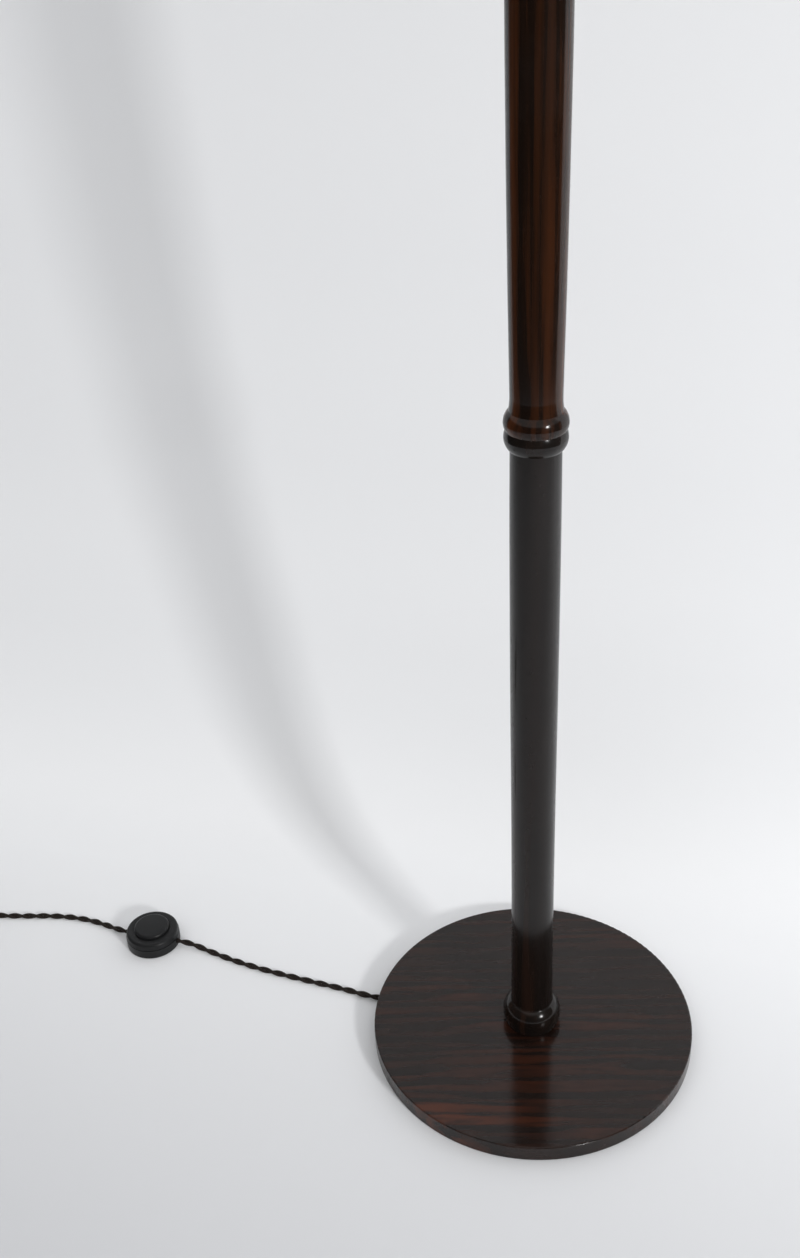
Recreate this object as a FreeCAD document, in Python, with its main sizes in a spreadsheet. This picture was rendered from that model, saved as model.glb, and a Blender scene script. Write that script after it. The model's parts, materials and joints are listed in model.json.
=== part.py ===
"""Candlestick floor lamp: turned wooden column on a round base, foot switch, cord and plug.

Millimetres, +Z up. The origin is the centre of the base's underside, on the floor. The cord
leaves the base along -X, runs through the foot switch and ends in a coil beside its plug.
"""
import FreeCAD
import Part
import math
import os
import re
import Sketcher

Vector = FreeCAD.Vector
UP = Vector(0, 0, 1)

document = FreeCAD.newDocument("FloorLamp")
sheet = document.addObject("Spreadsheet::Sheet", "Sizes")
aliases = []
pieces = {}

# Driving dimensions, by the piece that they belong to. A text that starts with = is worked out
# from the others.
SIZES = {
    "cuts": {"cut_margin": 1},
    "base": {
        "disc_radius": 150, "disc_thickness": 16, "disc_edge_round": 1.2, "disc_foot_round": 0.8,
        "felt_thickness": 2, "felt_recess": 1, "felt_margin": 6, "felt_clearance": 0.4,
        "plate_radius": 124.5, "plate_thickness": 6, "plate_hole_radius": 23,
        "plate_clearance": 0.6, "plate_slot_width": 9, "plate_gap_to_felt": 0.6,
        "nut_pocket_radius": 18, "nut_pocket_roof": 4,
        "plate_screw_circle": 80, "plate_screw_shank": 1.75, "plate_screw_head": 3.8,
        "plate_screw_head_height": 2.1, "plate_screw_length": 12, "screw_clearance": 0.1,
        "disc_bottom": "=felt_thickness - felt_recess",
        "disc_top": "=disc_bottom + disc_thickness",
        "plate_bottom": "=felt_thickness + plate_gap_to_felt",
        "plate_top": "=plate_bottom + plate_thickness",
        "nut_pocket_top": "=disc_top - nut_pocket_roof",
        "felt_radius": "=disc_radius - felt_margin",
    },
    "stem": {
        "tube_radius": 5, "tube_bore": 4, "tube_clearance": 0.2, "washer_radius": 15,
        "washer_thickness": 1.5, "nut_across_flats": 15, "nut_height": 3, "tube_below_nut": 0.3,
        "thread_clearance": 0.05, "tube_into_holder": 10, "lead_diameter": 4.4,
        "lead_bend_radius": 4.6, "lead_end_gap": 0.3,
        "washer_bottom": "=nut_pocket_top - washer_thickness",
        "nut_bottom": "=washer_bottom - nut_height",
        "tube_bottom": "=nut_bottom - tube_below_nut",
        "tube_top": "=cap_top + tube_into_holder",
        "stem_hole_radius": "=tube_radius + tube_clearance",
        "lead_top": "=insulator_bottom - lead_end_gap",
    },
    "column": {
        "foot_bead_radius": 26.9, "foot_bead_base": 24.8, "foot_bead_neck": 20.6,
        "foot_bead_low": 11.5, "foot_bead_high": 14, "foot_cove": 2, "foot_cove_radius": 2.5,
        "shaft_foot_radius": 19.4, "shaft_waist_radius": 18.85, "shaft_waist_height": 148,
        "shaft_swell_radius": 19.8, "shaft_swell_height": 494, "shaft_top_radius": 19.45,
        "joint_height": 603, "joint_groove_radius": 22.9,
        "lower_bead_radius": 24.1, "lower_bead_lip": 20.6, "lower_bead_low": 9.2,
        "lower_bead_high": 5.8, "upper_bead_radius": 24.4, "upper_bead_low": 6,
        "upper_bead_high": 9, "upper_bead_neck": 20.4, "upper_cove_radius": 19.5,
        "upper_cove_height": 10, "tenon_radius": 11, "tenon_length": 22, "tenon_clearance": 0.2,
        "tenon_end_gap": 0.5,
        "upper_swell_radius": 22.1, "upper_swell_height": 340, "neck_radius": 15,
        "neck_height": 225, "collar_radius": 18.4, "collar_lip": 15.6, "collar_height": 9,
        "throat_radius": 14.6, "cup_radius": 24, "cup_height": 27, "cup_rim": 4,
        "cup_edge_round": 1,
        "joint_level": "=disc_top + joint_height",
        "swell_level": "=joint_level + upper_swell_height",
        "neck_level": "=swell_level + neck_height",
        "collar_level": "=neck_level + collar_height",
        "cup_level": "=collar_level + cup_height",
        "column_top": "=cup_level + cup_rim",
        "cap_radius": 21, "cap_thickness": 2.5, "cap_dome": 1.5, "cap_seat_margin": 1,
        "cap_top": "=column_top + cap_thickness + cap_dome",
    },
    "holder": {
        "holder_neck_radius": 8, "holder_neck_height": 8, "holder_dome_height": 14,
        "holder_wall": 1.8, "holder_radius": 19.8, "holder_shell_height": 38,
        "holder_collar_radius": 22, "holder_collar_thickness": 2.2, "holder_collar_offset": 7,
        "fitter_offset": 17, "ring_clearance": 0.25, "ring_radius": 28.5, "ring_thickness": 5,
        "ring_skirt": 2, "insulator_radius": 16.6, "insulator_thickness": 12,
        "insulator_seat": 2, "contact_well_depth": 4.4, "contact_well_radius": 12.3,
        "insulator_rise": 3, "screw_shell_bore": 13.4, "screw_shell_wall": 0.5,
        "screw_shell_height": 18, "lug_inset": 0.7, "contact_foot_inset": 0.4,
        "contact_link_gap": 3, "contact_riser_offset": 1, "contact_width": 6, "contact_length": 15,
        "contact_sheet": 0.6, "contact_lift": 3.2, "holder_screw_radius": 1.5, "holder_screw_head": 2.6,
        "holder_screw_offset": 8.4, "holder_screw_length": 6, "holder_screw_head_height": 1.6,
        "holder_screw_end_gap": 1,
        "holder_bottom": "=cap_top",
        "holder_shell_bottom": "=holder_bottom + holder_neck_height + holder_dome_height",
        "holder_top": "=holder_shell_bottom + holder_shell_height",
        "fitter_level": "=holder_shell_bottom + fitter_offset",
        "insulator_bottom": "=holder_shell_bottom + insulator_rise",
        "insulator_top": "=insulator_bottom + insulator_thickness",
        "well_floor": "=insulator_top - contact_well_depth",
    },
    "shade": {
        "shade_bottom_radius": 205, "shade_top_radius": 160, "shade_height": 240,
        "shade_drop": 36, "shade_wall": 1.2, "hoop_wire": 3.6, "hoop_clearance": 0.4,
        "hoop_inset": 5, "spider_hub_radius": 27, "spider_hub_thickness": 1.6,
        "spider_wire": 3.2, "arm_overlap": 1.5, "ring_room": 0.3, "trim_height": 9, "trim_thickness": 0.6,
        "shade_bottom": "=fitter_level - shade_drop",
        "shade_top": "=shade_bottom + shade_height",
        "shade_slope": "=(shade_bottom_radius - shade_top_radius) / shade_height",
    },
    "cord": {
        "cord_diameter": 6, "cord_channel_clearance": 0.4, "cord_exit_height": 5.1,
        "cord_exit_depth": 1, "coil_quarters": 29, "coil_pitch": 6.5,
        "coil_layer_pitch": 6.5, "coil_radius": 47.8,
        "coil_x": -632, "coil_y": -29, "coil_end_reach": 4,
        "cord_rest": "=cord_diameter / 2",
        "coil_top_layer": "=cord_rest + coil_layer_pitch",
    },
    "switch": {
        "switch_x": -407.2, "switch_y": 26.6, "switch_radius": 27.5, "switch_wall": 2,
        "switch_pad_height": 0.6, "switch_pad_radius": 4, "switch_pad_circle": 11,
        "switch_pad_recess": 0.6, "switch_pad_clearance": 0.1, "switch_base_height": 10.2,
        "switch_base_round": 1.4,
        "seam_height": 0.8, "seam_depth": 1.2, "lip_height": 1.4, "lip_clearance": 0.2,
        "cover_height": 6.3, "cover_draft": 0.8, "cover_round": 3, "button_radius": 18,
        "button_hole_clearance": 0.5, "button_top": 22.6, "button_round": 2.6,
        "button_crown": 0.6, "button_wall": 2, "button_flange": 1.6,
        "button_flange_thickness": 1.6, "button_flange_clearance": 0.6,
        "button_rest_gap": 0.3, "button_travel": 3.5, "stem_radius": 2.2, "stem_root": 1,
        "bridge_length": 15,
        "bridge_width": 4, "bridge_thickness": 0.8, "bridge_gap": 0.4, "contact_height": 2,
        "contact_pad_length": 4, "contact_pad_offset": 5.5, "strip_thickness": 0.8,
        "strip_width": 5, "strip_way_length": 44,
        "strip_end": 18.3, "spring_radius": 11, "spring_wire": 0.9, "spring_turns": 3,
        "spring_end_gap": 0.02,
        "spring_seat_height": 1.6, "spring_seat_wall": 3, "strip_slot_clearance": 0.4,
        "terminal_length": 5, "terminal_width": 6, "terminal_height": 4,
        "terminal_offset": 15.8, "terminal_screw_radius": 1.3, "terminal_screw_head": 2.3,
        "terminal_screw_head_height": 1.3, "terminal_floor": 1, "terminal_screw_gap": 0.2,
        "core_diameter": 2.2, "core_row": 13, "core_side": 15, "core_start": 1.6,
        "core_turn": 7.5, "core_offset": 1.4, "core_bend": 3.52,
        "post_radius": 3, "post_circle": 21.1, "post_angle": 35, "post_gap": 0.05,
        "post_height": 5, "post_root": 1,
        "cover_screw_radius": 1.2, "cover_screw_head": 2.2, "cover_screw_head_height": 1.6,
        "cover_screw_reach": 6, "cover_screw_end_gap": 0.6, "cord_entry_height": 6.4,
        "cord_entry_clearance": 0.3,
        "cord_hold": 6.5, "core_gap": 0.1, "grip_bridge": 1.6, "grip_leg": 1.3,
        "grip_length": 2.2, "grip_offset": 22.6, "grip_clearance": 0.05,
        "switch_shell_bottom": "=switch_pad_height",
        "switch_floor": "=switch_shell_bottom + switch_wall",
        "switch_shell_top": "=switch_shell_bottom + switch_base_height",
        "cover_bottom": "=switch_shell_top + seam_height",
        "cover_top": "=cover_bottom + cover_height",
        "cover_ceiling": "=cover_top - switch_wall",
        "flange_top": "=cover_ceiling - button_rest_gap",
        "flange_bottom": "=flange_top - button_flange_thickness",
        "contact_top": "=switch_floor + contact_height",
        "bridge_bottom": "=contact_top + button_travel + bridge_gap",
        "button_ceiling": "=button_top - button_wall",
        "spring_seat": "=switch_floor + spring_seat_height",
        "post_split": "=switch_floor + post_height",
        "lip_radius": "=switch_radius - seam_depth",
        "switch_bore": "=lip_radius - switch_wall + lip_clearance",
    },
    "plug": {
        "plug_width": 36, "plug_length": 40, "plug_corner": 7, "plug_edge_round": 3,
        "plug_wall": 2.2, "plug_half_margin": 5, "relief_length": 34, "relief_inside": 7, 
        "relief_tip": 4.2, "relief_root": 8, "relief_clearance": 0.2, "pin_radius": 2.4,
        "pin_spacing": 19, "pin_length": 19, "pin_tip": 1.2, "pin_nose": 1.32,
        "pin_shank": 2.8, "pin_seat": 12, "pin_head": 3.3, "pin_head_length": 7,
        "pin_clearance": 0.05, "pin_screw_floor": 0.5, "pin_screw_gap": 0.5,
        "pin_screw_head": 2.07, "pin_screw_head_height": 1, "pin_screw_rise": 0.1,
        "plug_screw_radius": 1.6, "plug_screw_head": 3, "plug_screw_head_height": 2,
        "plug_screw_length": 14.25, "plug_post_radius": 3.6, "plug_post_back": 21,
        "plug_post_root": 0.5, "plug_lead_inside": 8, "plug_lead_spread": 1.5,
        "plug_lead_straight": 3, "plug_grip_back": 5.2,
        "plug_axis": "=coil_top_layer", "plug_x": "=coil_x - coil_radius - coil_end_reach",
        "plug_cord_y": "=coil_y - cord_diameter",
        "plug_back": "=plug_cord_y - relief_length",
        "plug_front": "=plug_back - plug_length",
    },
}

contents = []
for sizes in SIZES.values():
    for alias, content in sizes.items():
        aliases.append(alias)
        contents.append(content)
        sheet.set("A%d" % len(aliases), alias)
        sheet.setAlias("B%d" % len(aliases), alias)
for row, content in enumerate(contents, 1):
    sheet.set("B%d" % row, str(content))
document.recompute()


def value(text):
    """The number that an expression of named sizes comes to."""
    return float(sheet.evalExpression(text))


def bound(text):
    """The same expression, as an object other than the sheet writes it."""
    return re.sub(r"[a-z][a-z_]*", lambda word: "Sizes." + word.group()
                  if word.group() in aliases else word.group(), text)


def bind(thing, **settings):
    """Ties properties such as Radius or Height to expressions of named sizes."""
    for name, text in settings.items():
        thing.setExpression(name, bound(text))
    return thing


def place(thing, x="0", y="0", z="0", rotation=None):
    """Puts a piece at a place that follows the named sizes."""
    if rotation is not None:
        thing.Placement = FreeCAD.Placement(Vector(), rotation)
    for axis, text in (("x", x), ("y", y), ("z", z)):
        if text != "0":
            thing.setExpression("Placement.Base." + axis, bound(text))
    return thing


def named(thing, label):
    """Marks a finished piece, whose label names its file."""
    thing.Label = label
    pieces[label] = thing
    return thing


# ---------------------------------------------------------------- pieces of revolution

def arc_radius(inset, rise):
    """Radius of an arc that starts along the axis and moves sideways by inset over a rise."""
    return "((%s)^2 + (%s)^2) / (2 * (%s))" % (inset, rise, inset)


def outline_edge(start, end, step):
    """A line, or the arc of a step's radius whose centre is on the left (+1) or right (-1)."""
    if len(step) == 2:
        return Part.LineSegment(start, end), 1
    radius, side = value(step[2]), step[3]
    chord = end - start
    reach = math.sqrt(max(radius ** 2 - chord.Length ** 2 / 4, 0))
    left = Vector(-chord.y, chord.x, 0) / chord.Length
    centre = (start + end) / 2 + left * (side * reach)
    first, last = (start, end) if side > 0 else (end, start)
    angles = [math.atan2(point.y - centre.y, point.x - centre.x) for point in (first, last)]
    return Part.ArcOfCircle(Part.Circle(centre, UP, radius), *angles), side


def tie_coordinate(sketch, kind, axis, edge, corner, text):
    """Ties one coordinate of a corner to its expression, or to the axis where it is 0."""
    if text == "0":
        sketch.addConstraint(Sketcher.Constraint("PointOnObject", edge, corner, axis))
        return
    constraint = Sketcher.Constraint(kind, -1, 1, edge, corner, value(text))
    index = sketch.addConstraint(constraint)
    sketch.setExpression("Constraints[%d]" % index, bound(text))


def turned(label, outline, x="0", y="0", z="0"):
    """A turned piece: its outline is a closed list of steps, (radius, height) for a line to
    that corner, or (radius, height, arc radius, side) for an arc to it."""
    body = document.addObject("PartDesign::Body", label + "_body")
    sketch = body.newObject("Sketcher::SketchObject", label + "_outline")
    plane = [item for item in body.Origin.OriginFeatures if item.Role == "XZ_Plane"][0]
    sketch.AttachmentSupport = [(plane, "")]
    sketch.MapMode = "FlatFace"
    corners = [Vector(value(step[0]), value(step[1]), 0) for step in outline]
    count = len(outline)
    sides = []
    for index in range(count):
        following = (index + 1) % count
        edge, side = outline_edge(corners[index], corners[following], outline[following])
        sketch.addGeometry(edge, False)
        sides.append(side)
    for index in range(count):
        following = (index + 1) % count
        start = 1 if sides[index] > 0 else 2
        end = 3 - start
        next_start = 1 if sides[following] > 0 else 2
        sketch.addConstraint(
            Sketcher.Constraint("Coincident", index, end, following, next_start))
        tie_coordinate(sketch, "DistanceX", -2, index, start, outline[index][0])
        tie_coordinate(sketch, "DistanceY", -1, index, start, outline[index][1])
        if len(outline[following]) > 2:
            text = outline[following][2]
            radius = sketch.addConstraint(Sketcher.Constraint("Radius", index, value(text)))
            sketch.setExpression("Constraints[%d]" % radius, bound(text))
    turning = body.newObject("PartDesign::Revolution", label + "_turning")
    turning.Profile = sketch
    turning.ReferenceAxis = (sketch, ["V_Axis"])
    turning.Angle = 360
    body.Tip = turning
    return place(body, x, y, z)


def ring_outline(inner, outer, low, high):
    """A plain ring or tube between two radii and two heights."""
    return [(inner, low), (outer, low), (outer, high), (inner, high)]


# ---------------------------------------------------------------- simple solids and booleans

ALONG = {
    "z": None,
    "x": FreeCAD.Rotation(Vector(0, 1, 0), 90),
    "y": FreeCAD.Rotation(Vector(1, 0, 0), -90),
    "-x": FreeCAD.Rotation(Vector(0, 1, 0), -90),
    "-y": FreeCAD.Rotation(Vector(1, 0, 0), 90),
    "-z": FreeCAD.Rotation(Vector(1, 0, 0), 180),
}


def rod(radius, height, x="0", y="0", z="0", along="z"):
    """A cylinder from a point along one axis."""
    cylinder = bind(document.addObject("Part::Cylinder", "Rod"), Radius=radius, Height=height)
    return place(cylinder, x, y, z, ALONG[along])


def cone(first, second, height, x="0", y="0", z="0", along="z"):
    """A truncated cone from a point along one axis."""
    solid = bind(document.addObject("Part::Cone", "Taper"), Radius1=first, Radius2=second,
                 Height=height)
    return place(solid, x, y, z, ALONG[along])


def block(length, width, height, x="0", y="0", z="0"):
    """A box centred on x and y, standing on z."""
    box = bind(document.addObject("Part::Box", "Block"), Length=length, Width=width,
               Height=height)
    return place(box, "(%s) - (%s) / 2" % (x, length), "(%s) - (%s) / 2" % (y, width), z)


def joined(*parts):
    """Several solids fused to one."""
    fusion = document.addObject("Part::MultiFuse", "Joined")
    fusion.Shapes = list(parts)
    return fusion


def together(parts):
    """Separate solids kept as one group."""
    group = document.addObject("Part::Compound", "Group")
    group.Links = list(parts)
    return group


def without(part, *tools):
    """A solid with others cut from it."""
    cut = document.addObject("Part::Cut", "Cut")
    cut.Base = part
    cut.Tool = tools[0] if len(tools) == 1 else together(tools)
    return cut


def around(count, circle, start="0"):
    """The x and y of places spaced evenly round a circle."""
    return [("(%s) * cos(%s + %d)" % (circle, start, 360 * turn // count),
             "(%s) * sin(%s + %d)" % (circle, start, 360 * turn // count))
            for turn in range(count)]


def screw(shank, length, head, head_height, x, y, z, along):
    """A countersunk screw: its head's flat face at z, its point along the given axis."""
    return joined(cone(head, shank, head_height, x, y, z, along),
                  rod(shank, length, x, y, z, along))


# ---------------------------------------------------------------- cords and wound wire

def bend_radius(before, after, turn):
    """Radius of a bend: as large as the shorter of its two runs allows."""
    return 0.45 * min(before, after) / math.tan(turn / 2)


def route_edges(points, radius=None):
    """Straight runs joined by tangent arcs; also the list of the arcs' radii."""
    edges = []
    radii = []
    start = points[0]
    for previous, corner, following in zip(points, points[1:], points[2:]):
        arriving = corner - previous
        leaving = following - corner
        turn = arriving.getAngle(leaving)
        bend = radius or bend_radius(arriving.Length, leaving.Length, turn)
        tangent = bend * math.tan(turn / 2)
        first = corner - arriving.normalize() * tangent
        last = corner + leaving.normalize() * tangent
        towards = (first + last) / 2 - corner
        middle = corner + towards.normalize() * (bend / math.cos(turn / 2) - bend)
        edges.append(Part.LineSegment(start, first).toShape())
        edges.append(Part.Arc(first, middle, last).toShape())
        radii.append(bend)
        start = last
    edges.append(Part.LineSegment(start, points[-1]).toShape())
    return edges, radii


def swept(edges, diameter, start, direction):
    """A round bar along a smooth path of edges."""
    section = Part.Wire(Part.Circle(start, direction, diameter / 2).toShape())
    return Part.Wire(edges).makePipeShell([section], True, False)


def shaped(label, shape):
    """A piece whose shape is worked out here from the named sizes."""
    feature = document.addObject("Part::Feature", label)
    feature.Shape = shape
    return named(feature, label)


def routed(label, points, diameter, radius=None):
    """A cord or lead along a route, with its bends and its volume set against its length."""
    edges, radii = route_edges(points, radius)
    solid = swept(edges, diameter, points[0], points[1] - points[0])
    length = sum(edge.Length for edge in edges)
    expected = math.pi * diameter ** 2 / 4 * length
    print("%s: length %.1f, tightest bend %.1f, volume %.4f of section times length"
          % (label, length, min(radii), solid.Volume / expected))
    print("    bends " + " ".join("%.0f" % radius for radius in radii))
    return shaped(label, solid)


def biarc(start, start_way, end, end_way):
    """Two tangent arcs from one point and direction to another."""
    chord = end - start
    ways = start_way + end_way
    a = 2 * (1 - start_way.dot(end_way))
    b = 2 * chord.dot(ways)
    c = -chord.dot(chord)
    if abs(a) < 1e-9:
        reach = -c / b
    else:
        reach = (-b + math.sqrt(b * b - 4 * a * c)) / (2 * a)
    joint = (start + start_way * reach + end - end_way * reach) / 2
    return [tangent_arc(start, start_way, joint), tangent_arc(end, end_way * -1, joint)]


def tangent_arc(start, way, end):
    """The arc from a point, leaving in a given direction, to another point."""
    chord = end - start
    across = (chord - way * chord.dot(way)).normalize()
    sideways = chord.dot(across)
    radius = chord.dot(chord) / (2 * sideways)
    centre = start + across * radius
    halfway = ((start + end) / 2 - centre).normalize()
    return Part.Arc(start, centre + halfway * radius, end).toShape()


def wound(path, ways):
    """The smooth chain of biarcs through points and their directions."""
    edges = []
    for start, start_way, end, end_way in zip(path, ways, path[1:], ways[1:]):
        edges += biarc(start, start_way, end, end_way)
    return edges


def least_gap(edges, diameter, apart, steps=8):
    """Least gap of a wound tube to itself, on points further apart along it than apart."""
    points = []
    travelled = 0
    for edge in edges:
        for step in range(steps):
            share = step / steps
            parameter = edge.FirstParameter + (edge.LastParameter - edge.FirstParameter) * share
            points.append((travelled + edge.Length * share, edge.valueAt(parameter)))
        travelled += edge.Length
    gaps = [(one[1] - other[1]).Length for number, one in enumerate(points)
            for other in points[number + 1:] if other[0] - one[0] > apart]
    return min(gaps) - diameter


# ---------------------------------------------------------------- base

def make_base():
    """The turned disc, the steel plate that weighs it down, and what holds them."""
    disc = turned("base_disc", [
        ("stem_hole_radius", "nut_pocket_top"),
        ("nut_pocket_radius", "nut_pocket_top"),
        ("nut_pocket_radius", "plate_top"),
        ("plate_radius + plate_clearance", "plate_top"),
        ("plate_radius + plate_clearance", "felt_thickness"),
        ("felt_radius + felt_clearance", "felt_thickness"),
        ("felt_radius + felt_clearance", "disc_bottom"),
        ("disc_radius - disc_foot_round", "disc_bottom"),
        ("disc_radius", "disc_bottom + disc_foot_round", "disc_foot_round", 1),
        ("disc_radius", "disc_top - disc_edge_round"),
        ("disc_radius - disc_edge_round", "disc_top", "disc_edge_round", 1),
        ("stem_hole_radius", "disc_top"),
    ])
    channel_radius = "cord_diameter / 2 + cord_channel_clearance"
    channel_length = "disc_radius - plate_radius + plate_clearance"
    channel = joined(
        rod(channel_radius, channel_length, x="-disc_radius - cut_margin", z="cord_exit_height",
            along="x"),
        block(channel_length, "2 * (%s)" % channel_radius, "cord_exit_height",
              x="-disc_radius - cut_margin + (%s) / 2" % channel_length))
    pilot = "plate_screw_shank + screw_clearance"
    pilots = [rod(pilot, "plate_screw_length", x, y, "plate_bottom")
              for x, y in around(3, "plate_screw_circle")]
    named(without(disc, channel, *pilots), "base_disc")

    plate = turned("ballast_plate", ring_outline("plate_hole_radius", "plate_radius",
                                                 "plate_bottom", "plate_top"))
    slot = block("plate_radius", "plate_slot_width", "plate_thickness + 2 * cut_margin",
                 x="-plate_hole_radius / 2 - plate_radius / 2", z="plate_bottom - cut_margin")
    sinks = [screw(pilot, "plate_screw_length", "plate_screw_head + screw_clearance",
                   "plate_screw_head_height", x, y, "plate_bottom", "z")
             for x, y in around(3, "plate_screw_circle")]
    named(without(plate, slot, *sinks), "ballast_plate")
    named(together([screw("plate_screw_shank", "plate_screw_length", "plate_screw_head",
                          "plate_screw_head_height", x, y, "plate_bottom", "z")
                    for x, y in around(3, "plate_screw_circle")]), "ballast_screws")
    named(rod("felt_radius", "felt_thickness"), "base_felt")


# ---------------------------------------------------------------- threaded tube and its nut

def hexagon(across_flats, height, z):
    """A hexagonal prism standing on z."""
    prism = bind(document.addObject("Part::Prism", "Hexagon"),
                 Circumradius="(%s) / 2 / cos(30)" % across_flats, Height=height)
    prism.Polygon = 6
    return place(prism, z=z)


def make_stem():
    """The threaded tube through the whole lamp, clamped under the disc by a nut."""
    named(turned("stem_tube", ring_outline("tube_bore", "tube_radius", "tube_bottom",
                                           "tube_top")), "stem_tube")
    named(turned("base_washer", ring_outline("stem_hole_radius", "washer_radius",
                                             "washer_bottom", "nut_pocket_top")),
          "base_washer")
    bore = rod("tube_radius + thread_clearance", "nut_height + 2 * cut_margin",
               z="nut_bottom - cut_margin")
    named(without(hexagon("nut_across_flats", "nut_height", "nut_bottom"), bore), "base_nut")
    low = value("cord_exit_height")
    lead = [Vector(-value("disc_radius - cord_exit_depth"), 0, low), Vector(0, 0, low),
            Vector(0, 0, value("lead_top"))]
    routed("inner_lead", lead, value("lead_diameter"), value("lead_bend_radius"))


# ---------------------------------------------------------------- turned column

def make_column():
    """Two turned lengths that meet in a tenon between two beads, and the brass cap."""
    foot_drop = "foot_bead_radius - foot_bead_base"
    foot_neck = "foot_bead_radius - foot_bead_neck"
    foot_middle = "disc_top + foot_bead_low"
    foot_top = "%s + foot_bead_high" % foot_middle
    waist = "disc_top + shaft_waist_height"
    swell = "disc_top + shaft_swell_height"
    bead_middle = "joint_level - lower_bead_high"
    bead_bottom = "%s - lower_bead_low" % bead_middle
    shaft_rise = "shaft_swell_height - shaft_waist_height"
    named(turned("column_lower", [
        ("stem_hole_radius", "disc_top"),
        ("foot_bead_base", "disc_top"),
        ("foot_bead_radius", foot_middle, arc_radius(foot_drop, "foot_bead_low"), 1),
        ("foot_bead_neck", foot_top, arc_radius(foot_neck, "foot_bead_high"), 1),
        ("shaft_foot_radius", "%s + foot_cove" % foot_top, "foot_cove_radius", -1),
        ("shaft_waist_radius", waist,
         arc_radius("shaft_foot_radius - shaft_waist_radius",
                    "shaft_waist_height - foot_bead_low - foot_bead_high - foot_cove"), -1),
        ("(shaft_waist_radius + shaft_swell_radius) / 2", "(%s + %s) / 2" % (waist, swell),
         arc_radius("(shaft_swell_radius - shaft_waist_radius) / 2", "(%s) / 2" % shaft_rise),
         -1),
        ("shaft_swell_radius", swell,
         arc_radius("(shaft_swell_radius - shaft_waist_radius) / 2", "(%s) / 2" % shaft_rise),
         1),
        ("shaft_top_radius", bead_bottom,
         arc_radius("shaft_swell_radius - shaft_top_radius", "%s - (%s)" % (bead_bottom, swell)),
         1),
        ("lower_bead_lip", bead_bottom),
        ("lower_bead_radius", bead_middle,
         arc_radius("lower_bead_radius - lower_bead_lip", "lower_bead_low"), 1),
        ("joint_groove_radius", "joint_level",
         arc_radius("lower_bead_radius - joint_groove_radius", "lower_bead_high"), 1),
        ("tenon_radius", "joint_level"),
        ("tenon_radius", "joint_level + tenon_length"),
        ("stem_hole_radius", "joint_level + tenon_length"),
    ]), "column_lower")

    mortise_radius = "tenon_radius + tenon_clearance"
    mortise_top = "joint_level + tenon_length + tenon_end_gap"
    bead_widest = "joint_level + upper_bead_low"
    bead_top = "%s + upper_bead_high" % bead_widest
    cove_top = "%s + upper_cove_height" % bead_top
    swell_rise = "swell_level - (%s)" % cove_top
    named(turned("column_upper", [
        (mortise_radius, "joint_level"),
        ("joint_groove_radius", "joint_level"),
        ("upper_bead_radius", bead_widest,
         arc_radius("upper_bead_radius - joint_groove_radius", "upper_bead_low"), 1),
        ("upper_bead_neck", bead_top,
         arc_radius("upper_bead_radius - upper_bead_neck", "upper_bead_high"), 1),
        ("upper_cove_radius", cove_top,
         arc_radius("upper_bead_neck - upper_cove_radius", "upper_cove_height"), -1),
        ("upper_swell_radius", "swell_level",
         arc_radius("upper_swell_radius - upper_cove_radius", swell_rise), 1),
        ("neck_radius", "neck_level",
         arc_radius("upper_swell_radius - neck_radius", "neck_height"), 1),
        ("collar_lip", "neck_level"),
        ("collar_radius", "neck_level + collar_height / 2",
         arc_radius("collar_radius - collar_lip", "collar_height / 2"), 1),
        ("collar_lip", "collar_level",
         arc_radius("collar_radius - collar_lip", "collar_height / 2"), 1),
        ("throat_radius", "collar_level"),
        ("cup_radius", "cup_level",
         arc_radius("cup_radius - throat_radius", "cup_height"), -1),
        ("cup_radius", "column_top - cup_edge_round"),
        ("cup_radius - cup_edge_round", "column_top", "cup_edge_round", 1),
        ("stem_hole_radius", "column_top"),
        ("stem_hole_radius", mortise_top),
        (mortise_radius, mortise_top),
    ]), "column_upper")
    named(turned("column_cap", [
        ("stem_hole_radius", "column_top"),
        ("cap_radius", "column_top"),
        ("cap_radius", "column_top + cap_thickness"),
        ("holder_neck_radius + cap_seat_margin", "cap_top",
         arc_radius("cap_dome", "cap_radius - holder_neck_radius - cap_seat_margin"), 1),
        ("stem_hole_radius", "cap_top"),
    ]), "column_cap")


# ---------------------------------------------------------------- lamp holder

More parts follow.
